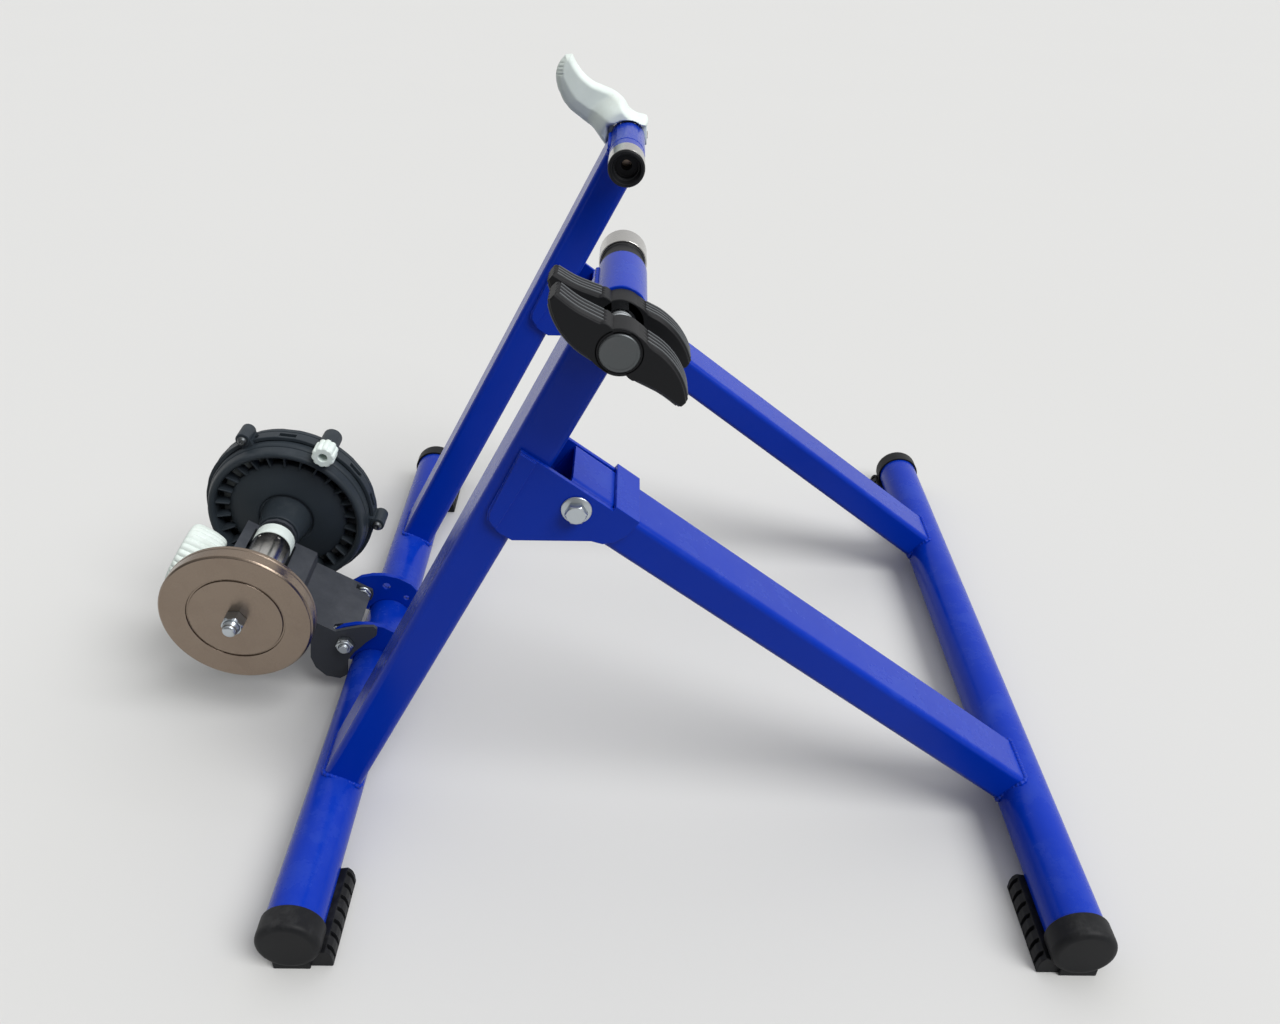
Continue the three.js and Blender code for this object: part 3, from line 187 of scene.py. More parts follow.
def slab(outline, start, end, edge, steps=4):
    """An outline carried along Y, its edges rounded by a quarter circle of insets."""
    t = np.linspace(0, math.pi / 2, steps + 1)
    insets = np.concatenate([edge * (1 - np.sin(t)), edge * (1 - np.sin(t[::-1]))])
    y = np.concatenate([start + edge * (1 - np.cos(t)), end - edge * (1 - np.cos(t[::-1]))])
    return placed(inset(np.asarray(outline, float), insets), y)


def unit(vectors):
    return vectors / np.linalg.norm(vectors, axis=1, keepdims=True)


def round_rows(path, size, first, second, places):
    """Round sections along a path: path + size (first cos a + second sin a), a going once round."""
    a = (np.arange(places) / places * TURN)[None, :, None]
    return path[:, None] + size * (first[:, None] * np.cos(a) + second[:, None] * np.sin(a))


def rod(path, radius, places):
    """A round rod along a path that runs across Y: its first normal is path direction x Y."""
    along = unit(np.gradient(path, axis=0))
    side = unit(np.cross(along, np.broadcast_to((0.0, 1.0, 0.0), path.shape)))
    return round_rows(path, radius, side, np.cross(side, along), places)


def about(points, place, turn):
    """Points turned about a line along Y through a place: x = x cos t + z sin t, z = z cos t - x sin t."""
    moved = np.asarray(points, float) - place
    c, s = math.cos(turn), math.sin(turn)
    return np.stack([moved[..., 0] * c + moved[..., 2] * s, moved[..., 1],
                     moved[..., 2] * c - moved[..., 0] * s], -1) + place


def aimed(points, place, direction):
    """Points modelled along Y, their Y laid along a direction in the XZ plane from a place."""
    x, y, z = np.moveaxis(np.asarray(points, float), -1, 0)
    dx, dz = direction
    return np.stack([place[0] + y * dx - x * dz, place[1] + z, place[2] + y * dz + x * dx], -1)


def along_curve(points, share):
    """Places at shares of the length of a line of points whose corners are rounded."""
    curve = smooth_corners(points, 6, 5, False)
    run = np.concatenate([[0], np.cumsum(np.linalg.norm(np.diff(curve, axis=0), axis=1))])
    return np.stack([np.interp(share * run[-1], run, curve[:, k]) for k in range(2)], -1)


def eased_step(t):
    """From 0 to 1 as t does, level at both ends: t^2 (3 - 2 t)."""
    t = np.clip(t, 0, 1)
    return t * t * (3 - 2 * t)


def reach_to(points, line):
    """Least distance from each point of a plane grid to the sides of a line of points."""
    start, along = line[:-1], line[1:] - line[:-1]
    apart = points[..., None, :] - start
    share = np.clip(np.sum(apart * along, -1) / (np.sum(along * along, -1) + 1e-9), 0, 1)
    return np.min(np.linalg.norm(apart - share[..., None] * along, axis=-1), axis=-1)


class Form:
    """The grids and closed ends of one piece, gathered into a mesh."""

    def __init__(self):
        self.points, self.faces, self.count = [], [], 0

    def grid(self, points, around=True, ends=True):
        """Quads between neighbours of a grid, the ends closed by one face each."""
        rows, columns = points.shape[:2]
        r = np.arange(rows - 1)[:, None]
        c = np.arange(columns if around else columns - 1)[None]
        n = (c + 1) % columns
        quads = np.stack([r * columns + c, r * columns + n, (r + 1) * columns + n, (r + 1) * columns + c], -1)
        self.points.append(points.reshape(-1, 3))
        self.faces += (quads.reshape(-1, 4) + self.count).tolist()
        if ends:
            first = np.arange(columns) + self.count
            self.faces += [first[::-1].tolist(), (first + (rows - 1) * columns).tolist()]
        self.count += rows * columns
        return self

    def ring(self, points):
        """A grid whose last row meets its first, or whose ends run into poles."""
        return self.grid(points, ends=False)

    def move(self, change):
        self.points = [change(p) for p in self.points]
        return self

    def lathe(self, profile, radius, centre, steps=96, corner=4, shape=None, closed=True):
        """A profile with rounded corners, turned about the line along Y through a centre."""
        rounded = smooth_corners(profile, radius, corner, closed)
        return self.ring(turned(rounded, centre, steps, shape, closed))


def join_up(mesh, points, faces):
    """Fills a mesh, closes its seams and poles, and turns its faces outwards."""
    mesh.from_pydata((np.vstack(points) * MM).tolist(), [], faces)
    work = bmesh.new()
    work.from_mesh(mesh)
    bmesh.ops.remove_doubles(work, verts=work.verts, dist=2e-7)
    bmesh.ops.dissolve_degenerate(work, dist=1e-7, edges=work.edges)
    bmesh.ops.recalc_face_normals(work, faces=work.faces)
    work.to_mesh(mesh)
    work.free()


def finish_piece(piece, slot, body, nodes, crease, finish=None):
    """Smooths a piece, gives it its finish, and sets it on its body in place of its nodes."""
    piece.data.polygons.foreach_set("use_smooth", [True] * len(piece.data.polygons))
    piece.data.set_sharp_from_angle(angle=math.radians(crease))
    piece.data.materials.clear()
    piece.data.materials.append(finishes()[finish or slot])
    evened = piece.modifiers.new("Even normals", "WEIGHTED_NORMAL")
    evened.keep_sharp = True
    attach(piece, body)
    if nodes:
        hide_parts(*nodes)
    return piece


def build(name, form, slot, body, nodes=(), crease=38, finish=None):
    """One piece from its form, in the finish of its slot unless another is named."""
    mesh = bpy.data.meshes.new(name)
    join_up(mesh, form.points, form.faces)
    piece = bpy.data.objects.new(name, mesh)
    bpy.context.scene.collection.objects.link(piece)
    return finish_piece(piece, slot, body, nodes, crease, finish)


def turned_piece(node, ending, slot, body, centre, radius, first, last=(), **how):
    """One lathed piece that spans a node and stands for it; how is what else Form.lathe takes."""
    form = Form().lathe(span(node, first, last), radius, centre, **how)
    return build(f"{node}_{ending}", form, slot, body, [node])


def eased(name, node, slot, body, edge, crease=40):
    """A merged copy of a node, its flat faces made whole and its edges rounded."""
    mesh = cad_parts[node].data.copy()
    mesh.name = name
    work = bmesh.new()
    work.from_mesh(mesh)
    bmesh.ops.remove_doubles(work, verts=work.verts, dist=2e-6)
    bmesh.ops.dissolve_limit(work, angle_limit=math.radians(1), verts=work.verts, edges=work.edges)
    work.to_mesh(mesh)
    work.free()
    piece = bpy.data.objects.new(name, mesh)
    bpy.context.scene.collection.objects.link(piece)
    rounding = piece.modifiers.new("Rounded edges", "BEVEL")
    rounding.width = edge * MM
    rounding.segments = 3
    rounding.limit_method = "ANGLE"
    rounding.angle_limit = math.radians(crease)
    rounding.use_clamp_overlap = True
    return finish_piece(piece, slot, body, [node], crease)


def keep(node, slot):
    """A node whose own shape is right, with its finish."""
    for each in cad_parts[node].material_slots:
        each.material = finishes()[slot]


# Finishes


class Wire:
    """A node's output used as a number in Python: each operation adds its Math node."""

    def __init__(self, paint, socket):
        self.paint, self.socket = paint, socket

    def math(self, operation, *others):
        node = self.paint.node("ShaderNodeMath", {"operation": operation}, dict(enumerate((self, *others))))
        return Wire(self.paint, node.outputs[0])

    def __add__(self, other):
        return self.math("ADD", other)

    __radd__ = __add__

    def __mul__(self, other):
        return self.math("MULTIPLY", other)

    __rmul__ = __mul__

    def __sub__(self, other):
        return self.math("SUBTRACT", other)

    def __rsub__(self, other):
        return (self * -1) + other

    def __pow__(self, other):
        return self.math("POWER", other)

    def __abs__(self):
        return self.math("ABSOLUTE")

    def sine(self):
        return self.math("SINE")

    def most(self, other):
        return self.math("MAXIMUM", other)

    def ramp(self, start, end):
        """0 below start, 1 above end, smooth between."""
        node = self.paint.node("ShaderNodeMapRange", {"interpolation_type": "SMOOTHSTEP"},
                               {0: self, 1: start, 2: end, 3: 0.0, 4: 1.0})
        return Wire(self.paint, node.outputs[0])


class Nodes:
    """A node tree, emptied and then filled by calls."""

    def __init__(self, holder):
        holder.use_nodes = True
        self.tree = holder.node_tree
        self.tree.nodes.clear()

    def node(self, kind, settings=None, inputs=None):
        node = self.tree.nodes.new(kind)
        for name, value in (settings or {}).items():
            setattr(node, name, value)
        for name, value in (inputs or {}).items():
            socket = node.inputs[name]
            value = value.socket if isinstance(value, Wire) else value
            if isinstance(value, bpy.types.NodeSocket):
                self.tree.links.new(value, socket)
            else:
                socket.default_value = value
        return node

    def seen_by(self, *rays):
        """1 for a ray of any of the kinds named, otherwise 0."""
        path = self.node("ShaderNodeLightPath")
        seen, *others = (Wire(self, path.outputs[f"Is {ray} Ray"]) for ray in rays)
        for other in others:
            seen = seen.most(other)
        return seen


class Paint(Nodes):
    """One material: its shader, and the nodes that vary its colour, roughness and surface."""

    def __init__(self, name, **constants):
        self.material = bpy.data.materials.new(name)
        super().__init__(self.material)
        self.shader = self.node("ShaderNodeBsdfPrincipled", {}, constants)
        self.node("ShaderNodeOutputMaterial", {}, {0: self.shader.outputs[0]})
        self.place = self.node("ShaderNodeTexCoord").outputs["Object"]
        split = self.node("ShaderNodeSeparateXYZ", {}, {0: self.place})
        self.x, self.y, self.z = (Wire(self, o) for o in split.outputs)

    def noise(self, scale, detail=3.0, rough=0.55):
        sockets = {"Vector": self.place, "Scale": scale, "Detail": detail, "Roughness": rough}
        return Wire(self, self.node("ShaderNodeTexNoise", {}, sockets).outputs[0])

    def specks(self, scale):
        node = self.node("ShaderNodeTexVoronoi", {}, {"Vector": self.place, "Scale": scale})
        return Wire(self, node.outputs[0])

    def facing(self, axis=2):
        """How far the surface looks along an axis, from -1 to 1; upwards if none is given."""
        normal = self.node("ShaderNodeNewGeometry").outputs["Normal"]
        return Wire(self, self.node("ShaderNodeSeparateXYZ", {}, {0: normal}).outputs[axis])

    def blend(self, first, second, mask):
        """A colour between two, by a mask from 0 to 1."""
        node = self.node("ShaderNodeMix", {"data_type": "RGBA"}, {0: mask, 6: first, 7: second})
        return node.outputs[2]

    def from_axis(self, axis):
        """Distance from a line along Y, in metres."""
        dx, dz = self.x - axis[0] * MM, self.z - axis[2] * MM
        return (dx * dx + dz * dz) ** 0.5

    def colour(self, value):
        self.tree.links.new(value, self.shader.inputs["Base Color"])

    def roughness(self, value):
        self.tree.links.new(value.socket, self.shader.inputs["Roughness"])

    def relief(self, height, distance, strength=1.0):
        """A bumped normal from a height of 0 to 1, which stands for a distance in millimetres."""
        sockets = {"Strength": strength, "Distance": distance * MM, "Height": height}
        node = self.node("ShaderNodeBump", {}, sockets)
        self.tree.links.new(node.outputs[0], self.shader.inputs["Normal"])


def shade(colour, factor):
    return tuple(min(1.0, c * factor) for c in colour[:3]) + (1.0,)


def grey(level):
    return (level, level, level, 1.0)


def frame_paint(name, colour):
    """Glossy powder coat: faint orange peel, slow changes of depth, and on upward faces dust with a painted
    highlight of paler blue.
    """
    paint = Paint(name, **{"Specular IOR Level": 0.16, "Metallic": 0.0})
    cloud = paint.noise(7, 4)
    base = paint.blend(shade(colour, 0.84), shade(colour, 1.16), cloud)
    # Upward faces: patchy dust, and a painted highlight that pales the blue where light falls on top
    dust = paint.facing().ramp(0.1, 1.0) * paint.noise(34, 5, 0.65).ramp(0.4, 0.8) * 0.1
    paint.colour(paint.blend(base, (0.16, 0.26, 0.62, 1.0), dust))
    paint.roughness(0.2 + cloud * 0.08 + dust * 1.2)
    paint.relief(paint.noise(420, 2) + paint.noise(1500, 2) * 0.3, 0.09, 0.3)
    return paint.material


def moulded(name, colour, rough, grain, dust_colour, dusty=0.25):
    """Moulded plastic: a fine spark-eroded grain, slight mottling, and patches of dust on upward faces."""
    paint = Paint(name, **{"Metallic": 0.0, "Specular IOR Level": 0.2})
    mottle = paint.noise(38, 4)
    dust = paint.facing().ramp(0.0, 1.0) * paint.noise(55, 5, 0.7).ramp(0.45, 0.8) * dusty
    base = paint.blend(shade(colour, 0.85), shade(colour, 1.18), mottle)
    paint.colour(paint.blend(base, dust_colour, dust))
    paint.roughness(rough - 0.06 + mottle * 0.14 + dust * 0.5)
    paint.relief(paint.noise(2600, 2) * 0.6 + paint.noise(900, 3) * 0.4, 0.05, grain)
    return paint.material


def turned_metal(name, colour, axis, rough, pitch, tint):
    """Turned steel: fine rings about the axis on the faces, lines along the rim, and faint tarnish."""
    paint = Paint(name, **{"Metallic": 1.0})
    reach = paint.from_axis(axis)
    rings = (reach * (TURN / (pitch * MM))).sine() * 0.5 + 0.5
    rim = (paint.y * (TURN / (pitch * 0.8 * MM))).sine() * 0.5 + 0.5
    flat = abs(paint.facing(1)).ramp(0.5, 0.9)
    lines = rings * flat + rim * (1 - flat)
    tarnish = paint.noise(24, 5, 0.65).ramp(0.35, 0.8)
    base = paint.blend(shade(colour, 0.94), shade(colour, 1.06), lines)
    paint.colour(paint.blend(base, tint, tarnish * 0.35))
    paint.roughness(rough + lines * 0.06 + tarnish * 0.12)
    paint.relief(lines + paint.noise(1800, 2) * 0.4, 0.012, 0.5)
    return paint.material


def plated(name, colour, rough, tint):
    """Zinc or chrome plate: clouded passivation and a fine grain."""
    paint = Paint(name, **{"Metallic": 1.0})
    cloud = paint.noise(130, 4, 0.6)
    base = paint.blend(shade(colour, 0.9), shade(colour, 1.08), cloud)
    paint.colour(paint.blend(base, tint, cloud.ramp(0.5, 0.8) * 0.4))
    paint.roughness(rough + cloud * 0.12)
    paint.relief(paint.noise(1900, 2), 0.02, 0.4)
    return paint.material


def textured_coat(name, colour):
    """Dark powder coat with a coarse matte texture, paler specks and rubbed dust."""
    paint = Paint(name, **{"Metallic": 0.0})
    grit = paint.noise(1100, 3, 0.6)
    speck = 1 - paint.specks(1500).ramp(0.05, 0.22)
    dust = paint.facing().ramp(-0.1, 1.0) * paint.noise(30, 5, 0.7).ramp(0.3, 0.85) * 0.22
    base = paint.blend(shade(colour, 0.82), shade(colour, 1.2), grit)
    speckled = paint.blend(base, shade(colour, 2.6), speck * 0.35)
    paint.colour(paint.blend(speckled, (0.2, 0.21, 0.23, 1.0), dust))
    paint.roughness(0.56 + grit * 0.16 + dust * 0.3)
    paint.relief(grit, 0.12, 0.5)
    return paint.material


FINISHES = {}


def finishes():
    """All finishes, made once from the user's colours and then looked up by name."""
    if not FINISHES:
        look = bpy.context.scene.trainer_colours
        recipes = {
            "frame_blue": (frame_paint, look.frame_blue),
            "black_plastic": (moulded, look.black_plastic, 0.5, 0.3, grey(0.11)),
            # Paler plastic for the ridge crests: a painted highlight where they catch the light
            "worn_plastic": (moulded, (0.12, 0.127, 0.135, 1.0), 0.4, 0.2, grey(0.2)),
            "screw_plate": (plated, (0.6, 0.63, 0.65, 1.0), 0.42, (0.5, 0.53, 0.56, 1.0)),
            "brake_plastic": (moulded, look.brake_plastic, 0.44, 0.22, (0.1, 0.11, 0.12, 1.0)),
            "white_plastic": (moulded, look.white_plastic, 0.46, 0.15, (0.4, 0.38, 0.3, 1.0), 0.3),
            "zinc": (plated, look.zinc, 0.26, (0.45, 0.5, 0.56, 1.0)),
            "turned_steel": (turned_metal, look.steel, ROLLER, 0.2, 0.45, (0.2, 0.15, 0.115, 1.0)),
            "polished_steel": (plated, look.chrome, 0.14, (0.5, 0.48, 0.45, 1.0)),
            "dark_steel": (turned_metal, look.dark_steel, CLAMP, 0.38, 0.6, (0.1, 0.13, 0.13, 1.0)),
            "grey_paint": (textured_coat, look.grey_paint),
        }
        for name, (make, base, *settings) in recipes.items():
            FINISHES[name] = make(name, tuple(base), *settings)
    return FINISHES


# Sizes and colours


def length(name, description, default):
    return bpy.props.FloatProperty(name=name, description=description, default=default * MM,
                                   min=0.0, subtype="DISTANCE", unit="LENGTH")


def number(name, description, default):
    return bpy.props.IntProperty(name=name, description=description, default=default, min=2)


def colour(name, description, default):
    return bpy.props.FloatVectorProperty(name=name, description=description, default=default, size=4,
                                         min=0.0, max=1.0, subtype="COLOR")


def strength(name, description, default):
    return bpy.props.FloatProperty(name=name, description=description, default=default, min=0.0)


class TrainerSizes(bpy.types.PropertyGroup):
    """Sizes that a user would change."""

    tube_wall: length("Tube wall", "Wall of the base tubes, posts and legs", 2.0)
    post_corner: length("Post corner", "Outer corner radius of the posts", 5.0)
    leg_corner: length("Leg corner", "Outer corner radius of the legs", 4.5)
    weld_bead: length("Weld bead", "Half width of a weld bead", 2.1)
    weld_ripple: length("Weld ripple", "Spacing of the ripples along a weld bead", 3.2)
    plate_edge: length("Plate edge", "Rounding of the brackets' and ears' edges", 0.5)
    thread_pitch: length("Clamp thread pitch", "Pitch of the clamp screw's thread", 2.5)
    bolt_pitch: length("Bolt thread pitch", "Pitch of the bolts' threads", 1.25)
    tension_pitch: length("Tension thread pitch", "Pitch of the tension screw's thread", 2.0)
    brake_ribs: number("Brake ribs", "Ribs in the brake's front grille", 26)
    brake_vents: number("Brake vents", "Slots round the brake's back shell", 14)
    knob_flutes: number("Knob flutes", "Flutes round the tension knob", 30)
    foot_teeth: number("Foot teeth", "Grooves along each rubber foot", 7)
    lever_ridges: number("Lever ridges", "Ridges across each clamp lever's wings", 4)


class TrainerColours(bpy.types.PropertyGroup):
    """Colours that a user would change."""

    frame_blue: colour("Frame", "Glossy blue paint", (0.0004, 0.03, 0.41, 1.0))
    black_plastic: colour("Caps and levers", "Black moulded plastic", (0.0075, 0.008, 0.0095, 1.0))
    brake_plastic: colour("Brake housing", "Blue-black moulded plastic", (0.026, 0.034, 0.042, 1.0))
    white_plastic: colour("Cam lever and knob", "Off-white moulded plastic", (0.77, 0.86, 0.81, 1.0))
    zinc: colour("Fasteners", "Zinc plate", (0.5, 0.54, 0.57, 1.0))
    # The brown in the flywheel's colour is a painted reflection of warm surroundings, not the steel's own
    # tint
    steel: colour("Flywheel", "Turned bare steel", (0.27, 0.215, 0.17, 1.0))
    chrome: colour("Roller", "Polished plate", (0.5, 0.49, 0.47, 1.0))
    dark_steel: colour("Lever disc", "Dull dark steel", (0.105, 0.11, 0.115, 1.0))
    grey_paint: colour("Cradle", "Dark grey textured coat", (0.03, 0.035, 0.045, 1.0))


class TrainerLight(bpy.types.PropertyGroup):
    """The stage's light and floor."""

    key_power: strength("Key light", "Strength of the soft light on the right", 2.3)
    surround: strength("Surround", "Strength of the light from all sides", 0.16)
    behind: strength("Light behind", "What the side behind the trainer adds to it", 0.5)
    floor: colour("Floor", "Pale floor", (0.66, 0.66, 0.65, 1.0))


# Shared shapes


def hexagon(across):
    """Radius of a hexagon round the turn, kept inside the round radius that a chamfer leaves."""
    def shape(a, r, y):
        flat = across * math.cos(math.pi / 6) / np.cos(np.mod(a, math.pi / 3) - math.pi / 6)
        return np.minimum(r, flat)
    return shape


def threaded(radius, start, end, pitch, depth, centre=ORIGIN, steps=32, taper=1.5):
    """A screw thread: r = radius - depth |2 frac(y / pitch - a / 2 pi) - 1|, fading out at both ends."""
    y = np.linspace(start, end, max(int((end - start) / pitch * 8), 4))
    a = np.arange(steps) / steps * TURN
    wave = np.abs(2 * np.mod(y[:, None] / pitch - a[None] / TURN, 1) - 1)
    fade = np.clip(np.minimum(y - start, end - y) / taper, 0, 1)[:, None]
    r = radius - depth * (wave * fade + (1 - fade))
    return np.stack([centre[0] + r * np.cos(a), y[:, None] + 0 * r, centre[2] + r * np.sin(a)], -1)


def fluted(radius, depth, count, sharp=1.0):
    """Radius - depth (1 - |cos(count a / 2)|^sharp): scallops round a turned knob."""
    def shape(a, r, y):
        scallop = 1 - np.abs(np.cos(count * a / 2)) ** sharp
        return r - depth * scallop * np.clip((r - radius * 0.7) / (radius * 0.3), 0, 1)
    return shape


def rounded_rect(width, depth, corner, steps=7):
    """Four quarter circles of the corner radius joined by straight sides."""
    t = np.linspace(0, math.pi / 2, steps)[None] + np.arange(4)[:, None] * math.pi / 2
    centres = np.array([[1, 1], [-1, 1], [-1, -1], [1, -1]]) * [width / 2 - corner, depth / 2 - corner]
    return (centres[:, None] + corner * np.stack([np.cos(t), np.sin(t)], -1)).reshape(-1, 2)


def beam_points(outline, along, foot, head, place):
    """Points of an outline at two ends of a beam: place + u side + s along + v Y."""
    side = np.array([along[1], -along[0]])
    rows = np.stack([foot, head])
    x = place[0] + outline[None, :, 0] * side[0] + rows * along[0]
    z = place[2] + outline[None, :, 0] * side[1] + rows * along[1]
    y = np.broadcast_to(place[1] + outline[None, :, 1], x.shape)
    return np.stack([x, y, z], -1)


def beam(width, depth, corner, wall, along, place, foot, head):
    """A hollow rectangular tube whose ends follow foot(u) and head(u) across its width."""
    outer = rounded_rect(width, depth, corner)
    inner = rounded_rect(width - 2 * wall, depth - 2 * wall, max(corner - wall, 0.5))
    out_rows = beam_points(outer, along, foot(outer[:, 0]), head(outer[:, 0]), place)
    in_rows = beam_points(inner, along, foot(inner[:, 0]), head(inner[:, 0]), place)
    return np.concatenate([out_rows, in_rows[::-1], out_rows[:1]])


def bead_size(run, bead, ripple):
    """Half width along a weld bead: bead (0.86 + 0.14 cos(2 pi run / ripple))."""
    return bead * (0.86 + 0.14 * np.cos(run / ripple * TURN))


def saddle_bead(width, depth, corner, along, place, radius, bead, ripple, toward=1, reach=0.0):
    """A weld bead where a rectangular tube meets a round one: the tube's outline laid on the round one,
    s = sqrt(R^2 - u^2), with a round section that swells along its length."""
    outline = rounded_rect(width, depth, corner, 12)
    s = reach + toward * np.sqrt(np.maximum((radius + WELD_GAP) ** 2 - outline[:, 0] ** 2, 0))
    path = beam_points(outline, along, s, s, place)[0]
    path = np.vstack([path, path[:1]])
    run = np.concatenate([[0], np.cumsum(np.linalg.norm(np.diff(path, axis=0), axis=1))])
    even = np.linspace(0, run[-1], max(int(run[-1] / ripple * 6), 24), endpoint=False)
    path = np.stack([np.interp(even, run, path[:, k]) for k in range(3)], -1)
    spoke = path - beside(place) - np.array([along[0], 0, along[1]]) * reach
    spoke[:, 1] = 0
    spoke = unit(spoke)
    other = np.cross(unit(np.roll(path, -1, 0) - np.roll(path, 1, 0)), spoke)
    points = round_rows(path, bead_size(even, bead, ripple)[:, None, None], spoke, other, 10)
    return np.concatenate([points, points[:1]])


def arc_bead(radius, centre, y, start, end, bead, ripple):
    """A bead round part of a tube, beside a plate that stands on it, thinner at both ends."""
    a = np.linspace(start, end, int(abs(end - start) * radius / ripple * 6))
    spoke = np.stack([np.cos(a), 0 * a, np.sin(a)], -1)
    path = np.stack([centre[0] + radius * np.cos(a), y + 0 * a, centre[2] + radius * np.sin(a)], -1)
    size = bead_size(a * radius, bead, ripple) * np.minimum(1, np.minimum(a - a[0], a[-1] - a) * 9 + 0.25)
    return round_rows(path, size[:, None, None], spoke, np.broadcast_to((0.0, 1.0, 0.0), path.shape), 10)


# Operators: one for each piece or group of like pieces


class TRAINER_OT_base_tubes(bpy.types.Operator):
    """Two round base tubes: a closed profile of outer and inner radius turned about Y"""

    bl_idname = "trainer.base_tubes"
    bl_label = "Base tubes"

    def execute(self, context):
        wall = context.scene.trainer_sizes.tube_wall / MM
        for node, body in (("rear_tube", "rear_frame"), ("front_tube", "front_legs")):
            turned_piece(node, "skin", "frame_blue", body, middle(node), 0.4, *pipe(TUBE - wall, TUBE),
                         steps=128)
        return {"FINISHED"}


class TRAINER_OT_posts_and_legs(bpy.types.Operator):
    """Posts and legs: a rounded rectangle carried between two saddles s = sqrt(R^2 - u^2)"""

    bl_idname = "trainer.posts_and_legs"
    bl_label = "Posts and legs"

    def execute(self, context):
        sizes = context.scene.trainer_sizes
        wall, past_pivot = sizes.tube_wall / MM, 13

        def saddle(radius):
            return lambda u: np.sqrt(np.maximum((radius + WELD_GAP) ** 2 - u**2, 0))

        tubes = (
            ("post", "rear_frame", REAR, POST_SIZE, sizes.post_corner, POST,
             lambda u: POST_REACH - saddle(SLEEVE)(u)),
            ("leg", "front_legs", FRONT, LEG_SIZE, sizes.leg_corner, LEG,
             lambda u: LEG_REACH + past_pivot + 0 * u),
        )
        for side in SIDES:
            for name, body, line, size, corner, along, head in tubes:
                node = f"{side}_{name}"
                rows = beam(*size, corner / MM, wall, along, beside(line, node), saddle(TUBE), head)
                build(f"{node}_skin", Form().ring(rows), "frame_blue", body, [node])
        return {"FINISHED"}


class TRAINER_OT_weld_beads(bpy.types.Operator):
    """Weld beads: a round section that swells along the line where two tubes meet"""

    bl_idname = "trainer.weld_beads"
    bl_label = "Weld beads"

    def execute(self, context):
        sizes = context.scene.trainer_sizes
        bead, ripple = sizes.weld_bead / MM, sizes.weld_ripple / MM
        for side in SIDES:
            place = beside(REAR, f"{side}_post")
            posts = Form().ring(saddle_bead(*POST_SIZE, 5, POST, place, TUBE, bead, ripple))
            posts.ring(saddle_bead(*POST_SIZE, 5, POST, place, SLEEVE, bead * 0.8, ripple, -1, POST_REACH))
            place = beside(FRONT, f"{side}_leg")
            legs = Form().ring(saddle_bead(*LEG_SIZE, 4.5, LEG, place, TUBE, bead, ripple))
            face = high(f"{side}_ear")[1] + 0.4
            ears = Form().grid(arc_bead(TUBE + 0.4, REAR, face, 0.3, math.pi * 0.86, bead * 0.75, ripple))
            for name, form, body in (("post", posts, "rear_frame"), ("leg", legs, "front_legs"),
                                     ("ear", ears, "rear_frame")):
                build(f"{side}_{name}_welds", form, "frame_blue", body, crease=60)
        return {"FINISHED"}


class TRAINER_OT_plates(bpy.types.Operator):
    """Leg brackets, ears and cradle: the sheet parts with their cut edges rounded"""

    bl_idname = "trainer.plates"
    bl_label = "Sheet parts"

    def execute(self, context):
        edge = context.scene.trainer_sizes.plate_edge / MM
        for side in SIDES:
            eased(f"{side}_bracket_plates", f"{side}_leg_bracket", "frame_blue", "rear_frame", edge)
            eased(f"{side}_ear_plate", f"{side}_ear", "frame_blue", "rear_frame", edge)
        eased("cradle_sheet", "cradle", "grey_paint", "cradle", edge)
        eased("far_sleeve_fork", "far_sleeve", "frame_blue", "rear_frame", edge)
        return {"FINISHED"}


class TRAINER_OT_end_caps(bpy.types.Operator):
    """End caps: a turned cup over the tube's end, a flat pad and a toothed foot.
    The foot is an outline in X and Z whose outer side steps in and out along Y"""

    bl_idname = "trainer.end_caps"
    bl_label = "End caps"

    cup = [(0, 0), (17.5, 0), (19.8, 1.2), (21, 3.2), (21, 17), (19.3, 17), (19.3, 3), (0, 3)]
    cup_radii = [0, 1.5, 1, 1.5, 0.6, 0.4, 1, 0]
    pad = [(-12, -22), (12, -22), (12, -15), (-12, -15)]
    foot = [(17, -8.6), (22.4, -7.6), (25, -10.6), (26, -15), (26, -22), (2, -22), (2, -17)]

    def foot_rows(self, teeth):
        """Sections of the foot: between two marks along Y, the outer side is cut back to the root."""
        start, end, first, pitch, wide, ease = 3.0, 69.0, 6.4, 9.4, 3.0, 0.35
        root, sole = 22.2, -19.6
        marks = first + pitch * np.arange(teeth)[:, None] + np.array([0, ease, wide - ease, wide])
        y = np.concatenate([[start, start + 0.5], marks.ravel(), [end - 0.5, end]])
        inward = np.concatenate([[0, 0], np.tile([0.0, 1.0, 1.0, 0.0], teeth), [0, 0]])[:, None]
        tips = np.zeros(len(y))
        tips[[0, -1]] = 0.5
        rows = inset(smooth_corners(self.foot, 0.9, 3), tips)
        cut = (rows[..., 1] > sole) & (rows[..., 0] > root)
        rows[..., 0] = np.where(cut, rows[..., 0] * (1 - inward) + root * inward, rows[..., 0])
        return placed(rows, y)

    def execute(self, context):
        pad = slab(smooth_corners(self.pad, 1.0, 3), 0.8, 17, 0.5)
        rows = self.foot_rows(context.scene.trainer_sizes.foot_teeth)
        for end, body, line, flip_x in (("rear", "rear_frame", REAR, 1), ("front", "front_legs", FRONT, -1)):
            for side, flip_y in (("near", 1), ("far", -1)):
                node = f"{end}_{side}_cap"
                place = np.array([line[0], ends(node)[::flip_y][0], line[2]])
                form = Form().lathe(self.cup, self.cup_radii, ORIGIN, closed=False).grid(pad).grid(rows)
                form.move(lambda p: p * [flip_x, flip_y, 1] + place)
                build(f"{node}_moulding", form, "black_plastic", body, [node])
        return {"FINISHED"}


